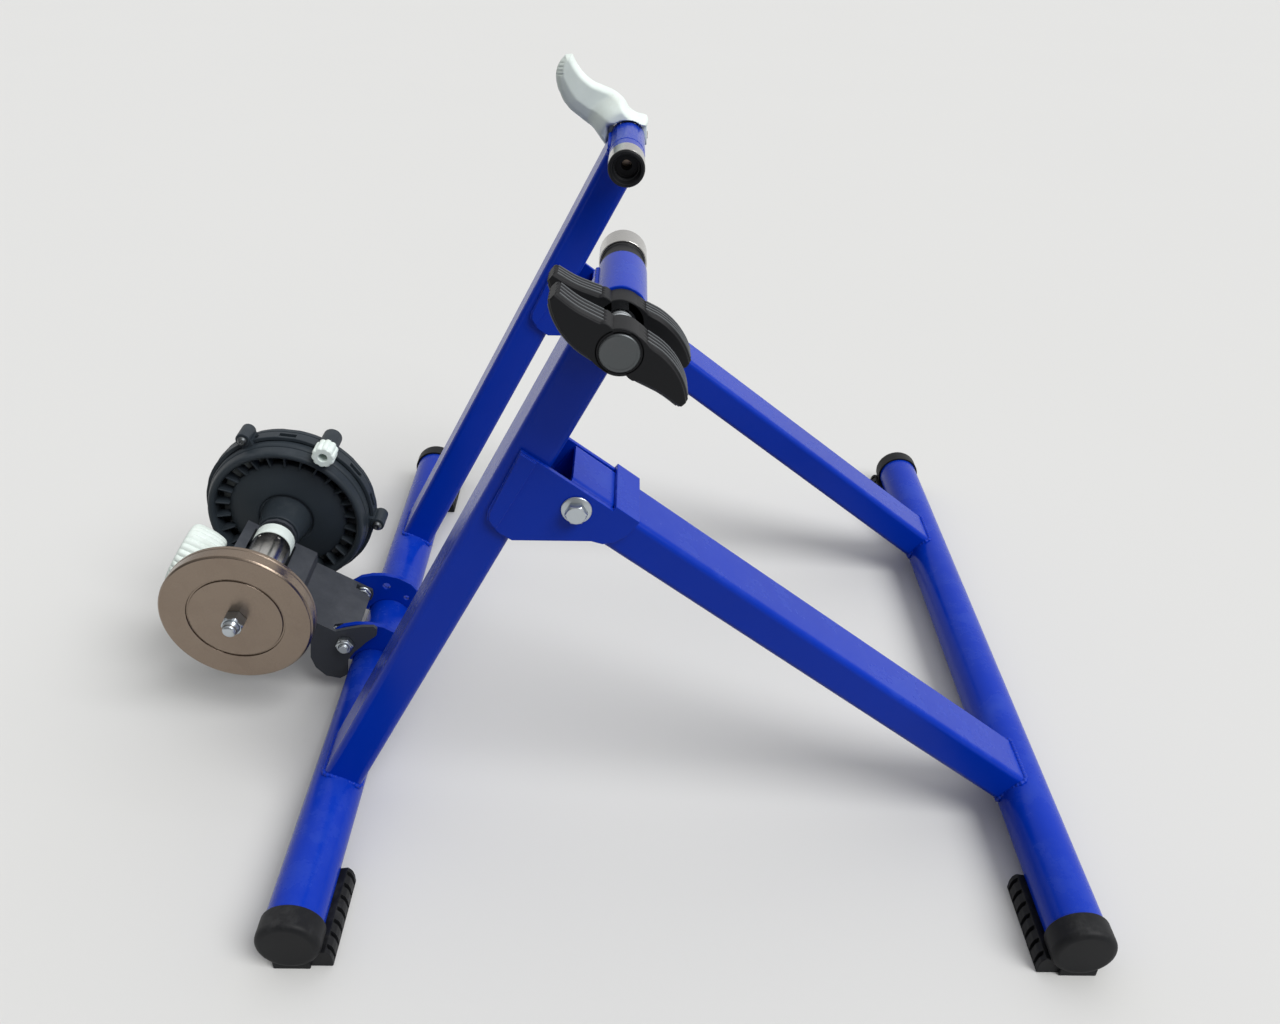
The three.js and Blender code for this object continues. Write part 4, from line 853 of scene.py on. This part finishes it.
class TRAINER_OT_near_clamp(bpy.types.Operator):
    """Screw clamp: turned sleeve, threaded screw, cup and collar, and two-winged levers.
    A wing is a sheet of lines between its upper and lower edge, both cut by grooves across its depth"""

    bl_idname = "trainer.near_clamp"
    bl_label = "Screw clamp"

    upper = [(4.6, 10.9), (8, 9.9), (13.5, 5.4), (21.5, 0), (28.5, -8.2), (33, -17.6), (34.4, -25.2)]
    lower = [(2.45, -11.5), (5.4, -14.8), (12.5, -18.4), (20.8, -22.8), (29.4, -30)]

    def wing_rows(self, start, deep, ridges):
        """Sections between the upper and lower edge; the first one bends round the boss. Across the depth
        v both edges are cut by grooves 1.5 (1 - |sin(pi n v)|^2.5)."""
        s = np.linspace(0, 1, 80)[:, None]
        up, down = along_curve(self.upper, s[:, 0]), along_curve(self.lower, s[:, 0])
        wide = np.linalg.norm(up - down, axis=1)[:, None]
        grown = np.clip((s - 0.16) / 0.08, 0, 1)
        v = np.linspace(0, 1, 12 * ridges + 1)[None]
        groove = 1.5 * (1 - np.abs(np.sin(math.pi * ridges * v)) ** 2.5)
        t, e = np.linspace(0, math.pi / 2, 5)[None], 0.7
        cut, end = 1.5 * grown, start + deep
        top = wide - cut
        level = np.concatenate([
            top - e * (1 - np.sin(t)), wide - groove * grown, top - e * (1 - np.cos(t)),
            cut + e * (1 - np.sin(t)), groove[:, ::-1] * grown, cut + e * (1 - np.cos(t))], 1)
        across = start + e + (deep - 2 * e) * v
        y = 0 * s + np.concatenate([
            start + e * (1 - np.cos(t)), across, end - e * (1 - np.sin(t)),
            end - e * (1 - np.cos(t)), across[:, ::-1], start + e * (1 - np.sin(t))], 1)
        share = (level / wide)[..., None]
        plane = down[:, None] + (up - down)[:, None] * share
        angle = math.radians(-78) + math.radians(145) * share[..., 0]
        bend = 11.8 * np.stack([np.cos(angle), np.sin(angle)], -1) - (down[0] + (up[0] - down[0]) * share)
        plane = plane + bend * np.clip(1 - s / 0.3, 0, 1)[..., None]
        rows = np.stack([plane[..., 0], y, plane[..., 1]], -1)
        tip = rows[-1:].mean(1, keepdims=True)
        last = tip + (rows[-1:] - tip) * [0.9, 0.95, 0.9] + np.array([0.35, 0, -0.45])
        return np.concatenate([rows, last]) + beside(CLAMP)

    def crests(self, start, deep, ridges, turn):
        """A painted highlight on the crests of the ridges: a thin round rod of paler plastic along each, on
        both edges of both wings.
        """
        s = np.linspace(0.22, 0.97, 40)
        form = Form()
        for edge in (self.upper, self.lower):
            line = along_curve(edge, s)
            for k in range(ridges):
                y = np.full(len(s), start + 0.7 + (deep - 1.4) * (k + 0.5) / ridges)
                path = np.stack([line[:, 0] + CLAMP[0], y, line[:, 1] + CLAMP[2]], -1)
                for half in (0, math.pi):
                    form.grid(about(rod(path, 0.5, 6), CLAMP, half + turn))
        return form

    def lever(self, start, deep, boss, ridges, turn):
        rows = self.wing_rows(start, deep, ridges)
        form = Form()
        for half in (0, math.pi):
            form.grid(about(rows, CLAMP, half + turn))
        return form.lathe(boss, 0.8, CLAMP)

    def execute(self, context):
        sizes = context.scene.trainer_sizes
        ridges = sizes.lever_ridges
        bore, boss, screw, step = 7.4, 12.8, 7, 10.6
        stepped = [(bore, 2.1), (step, 2.1), (step, 0), (boss, 0), (boss, 18), (bore, 18)], ()
        for node, body, deep, profile, turn in (
                ("adjuster_lever", "clamp_screw", 18, stepped, 0),
                ("lock_lever", "lock_lever", 15, pipe(bore, boss), math.radians(-7))):
            start = low(node)[1]
            lever = self.lever(start, deep, span(node, *profile), ridges, turn)
            build(f"{node}_moulding", lever, "black_plastic", body, [node])
            # Paler rods along the crests: a painted highlight
            build(f"{node}_ridges", self.crests(start, deep, ridges, turn), "black_plastic", body,
                  finish="worn_plastic")
        turned_piece("adjuster_disc", "face", "dark_steel", "clamp_screw", CLAMP, 0.35,
                     [(0, 0.25), (8.2, 0.15), (8.7, 0), (9.6, 0), (10.3, 0.7)], [(10.3, 0), (0, 0)],
                     corner=3, closed=False)
        thread = threaded(screw, *ends("clamp_screw"), sizes.thread_pitch / MM, 0.55, CLAMP, 48)
        build("clamp_screw_thread", Form().grid(thread), "polished_steel", "clamp_screw", ["clamp_screw"], 70,
              "screw_plate")
        turned_piece("near_sleeve", "skin", "frame_blue", "rear_frame", CLAMP, 0.9, *pipe(bore, SLEEVE))
        turned_piece("near_cup_collar", "moulding", "black_plastic", "near_cup", CLAMP, 0.5,
                     [(7.3, 0), (13, 0), (13, 6.2), (12.2, 6.8)],
                     [(12.2, -2.4), (13, -1.8), (13, 0), (0, 0), (0, -1.7), (7.3, -1.7)], corner=3)
        turned_piece("near_cup_ring", "steel", "polished_steel", "near_cup", CLAMP, 0.6,
                     [(6.7, 0), (SLEEVE, 0)],
                     [(SLEEVE, -1.2), (12.8, 0), (10.2, 0), (5.2, -13), (6.7, -13.3)])
        return {"FINISHED"}


class TRAINER_OT_far_clamp(bpy.types.Operator):
    """Cam clamp: turned cup and collar, and the cam lever.
    The handle is a sheet of lines between two edges. At distance d from its outline its half
    thickness is h sqrt(1 - (1 - d / r)^2), and past its ridge line the front falls back by 0.4 d,
    at most by 5. Its root leans 13 over the sleeve."""

    bl_idname = "trainer.far_clamp"
    bl_label = "Cam clamp"

    upper = [(-15.2, -7.4), (-15, -1), (-14.6, 6), (-13.2, 9.2), (-8, 9.2), (4, 9.2), (15.6, 9.2),
             (15.2, 15.2), (7, 17.6), (1.2, 21.5), (-3.1, 28), (-10.6, 34), (-20.2, 38), (-27.6, 41),
             (-35, 46.8), (-40.2, 53.4), (-42.6, 57.6), (-44.4, 61.2)]
    lower = [(-15.6, -9.4), (-17.6, -8.4), (-21.6, -3), (-27.9, 5), (-34.6, 9.9), (-38.6, 13), (-42.6, 16),
             (-46.7, 19.2), (-49.6, 22.6), (-52.3, 26.3), (-54.6, 31.6), (-56.2, 35.2), (-57.2, 39.4),
             (-57.7, 43), (-57.6, 46.8), (-56.4, 51.4), (-54, 55.8), (-49.6, 60.6)]
    ridge = [(-49, 60), (-51.5, 50), (-50.6, 44), (-46.8, 36), (-41.5, 28.5), (-32, 22), (-19.3, 17),
             (-8.6, 11), (-4, 6)]

    def edge(self, points):
        """A curve through the points, fourteen places to each step, bent by the points on either side."""
        p = np.asarray(points, float)
        p = np.vstack([2 * p[0] - p[1], p, 2 * p[-1] - p[-2]])
        t = np.linspace(0, 1, 14, endpoint=False)[None, :, None]
        a, b, c, d = p[:-3, None], p[1:-2, None], p[2:-1, None], p[3:, None]
        curve = 0.5 * (2 * b + (c - a) * t + (2 * a - 5 * b + 4 * c - d) * t**2
                       + (3 * b - a - 3 * c + d) * t**3)
        return np.vstack([curve.reshape(-1, 2), p[-2:-1]])

    def handle(self, mid, half):
        """Front and back of the handle, each at most half from its middle; smooth grooves cross its grip."""
        f = (1 - np.cos(np.linspace(0, math.pi, 41))) / 2
        up, down = self.edge(self.upper), self.edge(self.lower)
        plane = down[:, None] + (up - down)[:, None] * f[None, :, None]
        outline = np.vstack([down, up[::-1], down[:1]])
        line = np.asarray(self.ridge, float)
        round_ = np.clip(reach_to(plane, outline) / 4.5, 0, 1)
        thick = np.sqrt(1 - (1 - round_) ** 2)
        apart = reach_to(plane, line)
        order = np.argsort(line[:, 1])
        past = np.interp(plane[..., 1], line[order, 1], line[order, 0]) > plane[..., 0]
        fall = np.where(past, np.minimum(0.4 * apart, 5), 0)
        reach = np.hypot(plane[..., 0], plane[..., 1])
        lean = 13 * eased_step((36 - reach) / 15) * eased_step((reach - 13.2) / 3)
        mark = plane[..., 1] - 0.22 * (plane[..., 0] + 57.6)
        wave = (0.5 - 0.5 * np.cos(TURN * (mark - 44.6) / 2.7)) ** 2
        grip = wave * (past & (mark > 44.6) & (mark < 58.1)) * np.clip(apart / 2, 0, 1)
        front = mid - (half + lean - fall - 1.1 * grip) * thick
        surface = np.concatenate([front, (mid + half * thick)[:, ::-1]], 1)
        flat = np.concatenate([plane, plane[:, ::-1]], 1)
        return np.stack([flat[..., 0], surface, flat[..., 1]], -1)

    def execute(self, context):
        centre, pin = beside(CLAMP), middle("cam_pin")[1]
        form = Form().grid(self.handle(pin, 8) + centre)

        def across(outline, start, end, edge, side=1):
            """A slab that lies along X, at the pin."""
            rows = slab(outline, start, end, edge)
            form.grid(np.stack([rows[..., 1] * side, rows[..., 0] + pin, rows[..., 2]], -1) + centre)

        eye = np.linspace(math.pi, TURN, 25)
        cheek = np.vstack([[[-8, 14]], np.stack([8 * np.cos(eye), 8 * np.sin(eye)], -1), [[8, 14]]])
        for side in (-1, 1):
            across(cheek, 11.5, 15.6, 0.6, side)
        share = np.linspace(0, 2, 60, endpoint=False)
        radius = 5.6 + 7 * np.where(share <= 1, share, np.clip(1 - 2 * (share - 1), 0, 1))
        lobe = np.stack([-np.cos(math.pi * share) * radius, np.sin(math.pi * share) * radius], -1)
        across(lobe, -5.5, 5.5, 0.5)
        form.grid(slab([(-5.5, 2), (5.5, 2), (5.5, 14), (-5.5, 14)], pin - 2.8, pin + 5.6, 0.6) + centre)
        build("cam_lever_moulding", form, "white_plastic", "cam_lever", ["cam_lever"], 48)
        turned_piece("plunger_collar", "skin", "frame_blue", "far_plunger", CLAMP, 1.0, *pipe(4.3, 13.7))
        radii = [0.7, 0.7, 0.7, 0.7, 0.5, 0.2, 0.2, 0.2, 0.7, 0.7, 0.4, 0.4, 0.4, 0.4]
        turned_piece("far_cup", "moulding", "black_plastic", "far_plunger", CLAMP, radii,
                     [(3.7, 12), (8.8, 12), (8.8, 6), (10, 6), (11.2, 0), (11.9, 0), (12.1, 0.4), (12.3, 0),
                      (12.8, 0), (SLEEVE, 1.2), (SLEEVE, 2.4), (12.1, 2.4)], [(12.1, 0), (3.7, 0)])
        turned_piece("far_cup_ring", "steel", "polished_steel", "far_plunger", CLAMP, 0.5,
                     *pipe(12.4, SLEEVE))
        return {"FINISHED"}


class TRAINER_OT_roller(bpy.types.Operator):
    """Flywheel, roller, ring and shaft: profiles turned about the roller's line"""

    bl_idname = "trainer.roller"
    bl_label = "Roller and flywheel"

    def execute(self, context):
        bore, drum, nut = 6.2, 15.7, 8.6
        rim = (high("flywheel")[0] - low("flywheel")[0]) / 2
        turned_piece("flywheel", "disc", "turned_steel", "roller", ROLLER, 0.45,
                     [(bore, 0), (35.2, 0), (35.2, 1.4), (36.8, 1.4), (36.8, 0), (rim - 1.4, 0),
                      (rim, 1.4), (rim, 9.6), (rim - 0.5, 9.9), (rim - 0.5, 10.3), (rim, 10.6)],
                     [(rim, -1.4), (rim - 1.4, 0), (bore, 0)], steps=160, corner=3)
        form = Form().lathe(span("roller", *pipe(bore, drum)), 0.9, ROLLER, 128)
        pip = turned(smooth_corners([(0, -1), (1.5, -1), (1.3, 0.35), (0, 0.5)], 0.4, 3, False), ORIGIN, 24)
        place = np.array([ROLLER[0], high("roller")[1] - 4, ROLLER[2]])
        for degrees in (52, 112):
            turn = math.radians(degrees)
            form.ring(aimed(pip + [0, drum, 0], place, (math.cos(turn), math.sin(turn))))
        build("roller_drum", form, "polished_steel", "roller", ["roller"])
        turned_piece("roller_ring", "moulding", "white_plastic", "roller", ROLLER, 1.2, *pipe(bore, 16.1),
                     steps=128)
        turned_piece("flywheel_nut", "hex", "zinc", "roller", ROLLER, 0.2, [(bore, 0), (7.2, 0), (nut, 1.3)],
                     [(nut, 0), (bore, 0)], steps=120, corner=2, shape=hexagon(nut))
        start = low("roller_shaft")[1]
        nose = span("roller_shaft", [(0, 0), (3.6, 0), (5.2, 1.2), (5.4, 3)])
        form = Form().lathe(nose, 1, ROLLER, 48, closed=False)
        form.ring(threaded(6, start + 2.6, start + 18, 1.25, 0.5, ROLLER, 48))
        plain = span("roller_shaft", [(5.5, 17.9), (6, 18.5)], [(6, -0.5), (5.5, 0), (0, 0)])
        form.ring(turned(plain, ROLLER, 48))
        build("roller_shaft_steel", form, "zinc", "roller", ["roller_shaft"], 70)
        rings = (("flywheel_spacer", 6.2, 9, "roller"), ("near_bearing", 6.3, 11, "cradle"),
                 ("far_bearing", 6.3, 11, "cradle"))
        for node, bore, outer, body in rings:
            seal = 0.25 * (outer - bore)
            turned_piece(node, "turned", "turned_steel", body, ROLLER, 0.25,
                         [(bore, 0), (bore + seal, 0), (bore + seal, 0.4), (outer - seal, 0.4),
                          (outer - seal, 0), (outer, 0)], [(outer, 0), (bore, 0)], corner=3)
        return {"FINISHED"}


class TRAINER_OT_brake(bpy.types.Operator):
    """Brake housing: a turned dish and rim joined by radial ribs, and a back shell whose radius
    steps in at each vent: r = R - depth inside the slot"""

    bl_idname = "trainer.brake"
    bl_label = "Brake housing"

    dish = [(8, 0), (17, 0), (20.4, 18.6), (20.8, 25.6), (22.8, 25.6), (23.2, 23.6), (25.6, 23.4), (31, 24.2),
            (38, 25.8), (45, 28), (49.4, 30), (50, 31.2), (50, 35.6), (8, 35.6)]
    dish_radii = [0.8, 1.2, 1.2, 0.9, 0.6, 0.9, 1.6, 3, 3.4, 3.4, 0.9, 0.6, 0.3, 0.3]
    rim = [(60, 35.6), (60, 22.6), (61.6, 20.6), (64.4, 20.6), (66, 22.6), (67.2, 29.4), (66.5, 29.7),
           (66.5, 30.4), (67.4, 30.7), (68.5, 32.4), (68.5, 37.6), (65.5, 37.6), (65.5, 35.6)]
    rim_radii = [0.3, 1.6, 1.4, 1.4, 1.8, 0.25, 0.25, 0.25, 0.25, 0.8, 0.4, 0.3, 0.3]
    shell = [71.5, 72, 72, 72, 72, 72, 72, 71.4, 71.4, 72, 72, 71.8, 71.0, 69.6, 69.0]

    def front(self, ribs):
        """Dish and rim, and the ribs between them, whose front edges lean round the turn near the dish."""
        form = Form()
        for profile, radii in ((self.dish, self.dish_radii), (self.rim, self.rim_radii)):
            form.lathe(span("brake_front_shell", profile), radii, ROLLER, 160)
        blade = smooth_corners([(49, -0.8), (61, -0.8), (61, 0.8), (49, 0.8)], 0.25, 2)
        levels = low("brake_front_shell")[1] + np.array([24.3, 24.6, 35.4])
        one = placed(inset(blade, [0.35, 0.0, 0.0]), levels)
        one[:2, :, 1] += np.clip((60 - one[:2, :, 0]) / 11, 0, 1) * 2.6
        for i in range(ribs):
            form.grid(about(one, ORIGIN, TURN * i / ribs) + beside(ROLLER))
        return form

    def back(self, vents):
        """Rows of the back shell, outside and then inside, with a place at each edge of its slots."""
        end = high("brake_back_shell")[1]
        start = end - 16.7
        levels = np.concatenate([start + np.array([0, 0.5, 1.9, 2.0, 6.5, 6.6, 9.2, 9.5, 10.1, 10.4]),
                                 end - np.array([3, 2.1, 0.9, 0.1, 0])])
        slot = np.isin(np.arange(len(levels)), (3, 4))
        half, first, pitch = 7 / 72, TURN / 56, TURN / vents
        order = np.arange(vents)[:, None]
        marks = first + pitch * order + np.array([-half, -half + 0.002, half - 0.002, half])
        between = first + pitch * (order + np.array([0.36, 0.5, 0.64]))
        a = np.sort(np.concatenate([marks.ravel(), between.ravel()]))
        cut = np.abs(np.mod(a - first + pitch / 2, pitch) - pitch / 2) < half - 0.001
        r = np.array(self.shell)[:, None] - 3.4 * slot[:, None] * cut[None]
        inner = np.array([(66, end), (40, end), (39.4, end - 0.5), (38.6, end - 0.5), (38, end), (0, end),
                          (0, end - 3), (69, end - 3), (69, start)])
        r = np.concatenate([r, inner[:, :1] + 0 * a, r[:1]])
        y = np.concatenate([levels, inner[:, 1], levels[:1]])[:, None]
        return np.stack([ROLLER[0] + r * np.cos(a), y + 0 * r, ROLLER[2] + r * np.sin(a)], -1)

    def execute(self, context):
        sizes = context.scene.trainer_sizes
        form = self.front(sizes.brake_ribs)
        build("brake_front_moulding", form, "brake_plastic", "cradle", ["brake_front_shell"])
        form = Form().ring(self.back(sizes.brake_vents))
        start, end = low("brake_back_shell")[1], high("brake_back_shell")[1] - 3
        screw, cable = (6, 2.3, 12), (8, 5.5, 5.3)
        for degrees, reach, (size, bore, deep) in ((111, 76, screw), (-9, 76, screw), (-129, 76, screw),
                                                   (56.7, 77.7, cable)):
            turn = math.radians(degrees)
            floor = start + deep
            lug = [(bore, start), (size, start), (size, end), (0, end), (0, floor), (bore, floor)]
            form.lathe(lug, 0.8, ROLLER + reach * np.array([math.cos(turn), 0, math.sin(turn)]), 48)
            near, far, wide = 66, reach - 2, size - 1
            arm = slab([(near, -wide), (far, -wide), (far, wide), (near, wide)], start + 1.5, end, 0.8)
            form.grid(about(arm, ORIGIN, -turn) + beside(ROLLER))
        build("brake_back_moulding", form, "brake_plastic", "cradle", ["brake_back_shell"])
        return {"FINISHED"}


class TRAINER_OT_knobs(bpy.types.Operator):
    """Tension knob, its threaded screw and the cable adjuster: turned profiles scalloped round the turn"""

    bl_idname = "trainer.knobs"
    bl_label = "Knob, tension screw and cable adjuster"

    knob = [(6.2, -79), (6.2, -84), (21, -85), (25.5, -84), (27.6, -81), (28, -77), (27.4, -66), (25.6, -58),
            (23, -54.6), (12, -54), (12, -48), (6.2, -48)]
    adjuster = [(3.7, 0), (8.4, 0), (9.6, 1.4), (9.6, 15), (8.4, 16.4), (5.2, 16.4), (5.2, 22), (3.7, 22)]

    def execute(self, context):
        sizes = context.scene.trainer_sizes
        run = (REAR - SWIVEL)[[0, 2]]
        reach = float(np.linalg.norm(run))
        aim, flutes = run / reach, sizes.knob_flutes
        form = Form().lathe(self.knob, 2.4, ORIGIN, 10 * flutes, 5, fluted(28, 1.3, flutes))
        form.move(lambda p: aimed(p, SWIVEL, aim))
        build("tension_knob_moulding", form, "white_plastic", "tension_knob", ["tension_knob"])
        start, tip = -79, reach - TUBE - WELD_GAP
        form = Form().ring(threaded(5, start, tip - 5, sizes.tension_pitch / MM, 0.6, steps=32))
        form.ring(turned([(0, start), (4.4, start)], ORIGIN, 32))
        nose = [(4.4, tip - 5), (4.6, tip - 2.6), (2.6, tip - 0.2), (0, tip)]
        form.lathe(nose, 1, ORIGIN, 32, closed=False)
        form.move(lambda p: aimed(p, SWIVEL, aim))
        build("tension_screw_thread", form, "zinc", "tension_screw", ["tension_screw"], 70)
        turned_piece("cable_adjuster", "moulding", "white_plastic", "cable_adjuster",
                     middle("cable_adjuster"), 0.6, self.adjuster, steps=168, shape=fluted(9.6, 1.4, 10, 0.6))
        return {"FINISHED"}


class TRAINER_OT_fasteners(bpy.types.Operator):
    """Bolts, nuts and screws: a hexagon cut by a chamfer cone, a flange and a threaded shank"""

    bl_idname = "trainer.fasteners"
    bl_label = "Bolts and nuts"

    screw = [(0, 1.1), (1.0, 1.1), (1.2, 0), (2.6, 0.1), (4.0, 1.8), (4.1, 3.2), (2, 3.2), (2, 16.7),
             (0, 16.7)]

    def bolt(self, centre, face, out, tall, flange, end, pitch):
        """A bolt whose flange lies on a face; out is the side of the head along Y."""
        head, thick = 6.9, 1.6
        top = thick + tall
        crown = [(0, top), (head * 0.8, top), (head, top - 1.1), (head, thick * 0.6), (0, thick * 0.6)]
        form = Form().lathe(stood(crown, face, out), 0.25, centre, 120, 3, hexagon(head), False)
        collar = [(0, thick + 0.6), (head * 0.8, thick + 0.5), (flange - 0.4, thick * 0.6),
                  (flange, thick * 0.3), (flange, 0), (4, 0)]
        form.lathe(stood(collar, face, out), 0.3, centre, corner=3, closed=False)
        return form.grid(threaded(4, *sorted((face, end)), pitch, 0.45, centre, 32, 1.0))

    def nut(self, centre, face, out):
        across, tall, bore = 7.4, 6.6, 4.3
        hexed = [(bore, 0), (across * 0.86, 0), (across, 0.8), (across, tall - 2.2),
                 (across * 0.8, tall - 1.6), (bore, tall - 1.6)]
        form = Form().lathe(stood(hexed, face, out), 0.2, centre, 120, 3, hexagon(across))
        collar = [(bore, tall - 2.4), (6.1, tall - 2.4), (6.1, tall - 0.6), (5.4, tall), (bore, tall)]
        return form.lathe(stood(collar, face, out), 0.35, centre, corner=3)

    def execute(self, context):
        pitch = context.scene.trainer_sizes.bolt_pitch / MM
        for side, out in (("near", -1), ("far", 1)):
            # Each node's end on the outside of the frame comes first
            names = f"{side}_pivot_bolt", f"{side}_pivot_nut", f"cradle_{side}_bolt", f"cradle_{side}_nut"
            bolt, nut, cross_bolt, cross_nut = (ends(name)[::-out] for name in names)
            forms = (self.bolt(PIVOT, bolt[0] - 7 * out, out, 5.4, 9.4, bolt[1], pitch),
                     self.nut(PIVOT, nut[0], -out),
                     self.bolt(HINGE, cross_bolt[1] + 4.6 * out, -out, 3.0, 6.9, cross_bolt[0], pitch),
                     self.nut(HINGE, cross_nut[1], out))
            for node, form in zip(names, forms):
                build(f"{node}_steel", form, "zinc", "rear_frame", [node], 50)
        for i in (1, 2, 3):
            node = f"housing_screw_{i}"
            form = Form().lathe(span(node, self.screw), 0.4, middle(node), 48, 3, closed=False)
            build(f"{node}_steel", form, "dark_steel", "cradle", [node], 50)
        return {"FINISHED"}


class TRAINER_OT_inner_parts(bpy.types.Operator):
    """Parts inside the clamps, pivots and brake: their nodes with finishes, and a fine return spring"""

    bl_idname = "trainer.inner_parts"
    bl_label = "Inner parts"

    kept = {
        "turned_steel": ("plunger_rod", "cam_pin", "near_leg_bush", "far_leg_bush"),
        "zinc": ("swivel_block", "ear_screw"),
        "dark_steel": ("brake_rotor",),
        "black_plastic": ("magnet_carrier",),
    }

    def execute(self, context):
        for slot, nodes in self.kept.items():
            for node in nodes:
                keep(node, slot)
        wire, coil, coils, travel = 0.8, 7, 4, 6.9
        start, end = low("return_spring")[1] + wire, high("return_spring")[1] - wire
        t = np.linspace(0, 1, 260)
        turn = t * TURN * coils
        path = np.stack([CLAMP[0] + coil * np.cos(turn), start + (end - start) * t,
                         CLAMP[2] + coil * np.sin(turn)], -1)
        spring = build("return_spring_wire", Form().grid(rod(path, wire, 12)), "turned_steel", "rear_frame",
                       ["return_spring"], 60)
        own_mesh(spring)
        return {"FINISHED"}


class TRAINER_OT_stage(bpy.types.Operator):
    """Floor, soft light and the camera at the photograph's viewing angle"""

    bl_idname = "trainer.stage"
    bl_label = "Stage"

    def sun(self, strength, toward):
        """A wide soft sun, its light coming from a direction."""
        light = bpy.data.lights.new("key", "SUN")
        light.energy, light.angle = strength, math.radians(34)
        lamp = bpy.data.objects.new("key", light)
        back = np.array(toward, float) / np.linalg.norm(toward)
        side = np.cross((0, 0, 1), back)
        side /= np.linalg.norm(side)
        turn = np.eye(4)
        turn[:3, 0], turn[:3, 1], turn[:3, 2], turn[:3, 3] = side, np.cross(back, side), back, 3 * back
        lamp.matrix_world = Matrix(turn.tolist())
        bpy.context.scene.collection.objects.link(lamp)

    def surround(self, light):
        """Soft light from all sides, stronger from behind, above and the right, before a pale backdrop."""
        world = bpy.data.worlds.new("surround")
        bpy.context.scene.world = world
        nodes = Nodes(world)
        place = nodes.node("ShaderNodeTexCoord").outputs["Generated"]
        x, y, z = (Wire(nodes, o) for o in nodes.node("ShaderNodeSeparateXYZ", {}, {0: place}).outputs)
        level = (light.surround + y.ramp(-0.35, 0.45) * light.behind + z.ramp(0.2, 0.9) * 0.25
                 + x.ramp(-0.2, 0.6) * 0.2)
        even = nodes.node("ShaderNodeBackground", {}, {0: (1.0, 1.0, 1.0, 1.0), 1: level})
        shown = nodes.node("ShaderNodeBackground", {}, {0: (0.8, 0.8, 0.79, 1.0), 1: 1.0})
        seen = nodes.seen_by("Camera", "Transmission")
        mixed = nodes.node("ShaderNodeMixShader", {}, {0: seen, 1: even.outputs[0], 2: shown.outputs[0]})
        nodes.node("ShaderNodeOutputWorld", {}, {0: mixed.outputs[0]})

    def camera(self):
        """The view of the photograph: a long side of 1280 pixels at a focal length of 1073.4 pixels."""
        pitch, yaw, roll = 0.575, 0.010, 0.018
        ahead = np.array([math.sin(yaw) * math.cos(pitch), math.cos(yaw) * math.cos(pitch), -math.sin(pitch)])
        right = np.array([math.cos(yaw), -math.sin(yaw), 0.0])
        up = np.cross(right, ahead)
        turn = np.eye(4)
        turn[:3, 0] = math.cos(roll) * right + math.sin(roll) * up
        turn[:3, 1] = math.cos(roll) * up - math.sin(roll) * right
        turn[:3, 2] = -ahead
        turn[:3, 3] = (0.03392, -0.71994, 0.622)
        data = bpy.data.cameras.new("photo_view")
        sensor = 36
        data.lens, data.sensor_width = 1073.4 / 1280 * sensor, sensor
        data.clip_start, data.clip_end = 0.02, 60
        view = bpy.data.objects.new("photo_view", data)
        bpy.context.scene.collection.objects.link(view)
        view.matrix_world = Matrix(turn.tolist())
        bpy.context.scene.camera = view

    def floor(self, tone):
        """A flat sheet far wider than the view, darker for the light that it sends back to the trainer."""
        side = np.linspace(-15, 15, 3)
        x, y = np.meshgrid(side, side)
        mesh = bpy.data.meshes.new("floor")
        points = np.stack([x, y, 0 * x], -1).reshape(-1, 3)
        mesh.from_pydata(points.tolist(), [], [(0, 1, 4, 3), (1, 2, 5, 4), (3, 4, 7, 6), (4, 5, 8, 7)])
        floor = bpy.data.objects.new("floor", mesh)
        bpy.context.scene.collection.objects.link(floor)
        paint = Paint("floor_pale", Roughness=0.9)
        cloud = paint.noise(2, 3)
        seen = paint.seen_by("Camera", "Glossy", "Transmission")
        pale = paint.blend(shade(tone, 0.985), shade(tone, 1.0), cloud)
        paint.colour(paint.blend(shade(tone, 0.4), pale, seen))
        mesh.materials.append(paint.material)

    def execute(self, context):
        light = context.scene.trainer_light
        self.surround(light)
        self.sun(light.key_power, (0.6, -0.42, 0.82))
        self.floor(tuple(light.floor))
        self.camera()
        context.scene.view_settings.view_transform = "Standard"
        return {"FINISHED"}


OPERATORS = (
    TRAINER_OT_stage,
    TRAINER_OT_base_tubes,
    TRAINER_OT_posts_and_legs,
    TRAINER_OT_weld_beads,
    TRAINER_OT_plates,
    TRAINER_OT_end_caps,
    TRAINER_OT_near_clamp,
    TRAINER_OT_far_clamp,
    TRAINER_OT_roller,
    TRAINER_OT_brake,
    TRAINER_OT_knobs,
    TRAINER_OT_fasteners,
    TRAINER_OT_inner_parts,
)


class TRAINER_PT_panel(bpy.types.Panel):
    """Lists the pieces, sizes and colours"""

    bl_idname = "TRAINER_PT_panel"
    bl_label = "Wheel-on trainer"
    bl_space_type = "VIEW_3D"
    bl_region_type = "UI"
    bl_category = "Trainer"

    def draw(self, context):
        for operator in OPERATORS:
            self.layout.operator(operator.bl_idname)
        for holder in GROUPS:
            group, box = getattr(context.scene, holder), self.layout.box()
            for name in group.__annotations__:
                box.prop(group, name)


GROUPS = {"trainer_sizes": TrainerSizes, "trainer_colours": TrainerColours, "trainer_light": TrainerLight}
CLASSES = (*GROUPS.values(), *OPERATORS, TRAINER_PT_panel)


def register():
    for each in CLASSES:
        bpy.utils.register_class(each)
    for name, group in GROUPS.items():
        setattr(bpy.types.Scene, name, bpy.props.PointerProperty(type=group))


def unregister():
    for name in GROUPS:
        delattr(bpy.types.Scene, name)
    for each in reversed(CLASSES):
        bpy.utils.unregister_class(each)


def main():
    register()
    for operator in OPERATORS:
        group, name = operator.bl_idname.split(".")
        getattr(getattr(bpy.ops, group), name)()


if __name__ == "__main__":
    main()
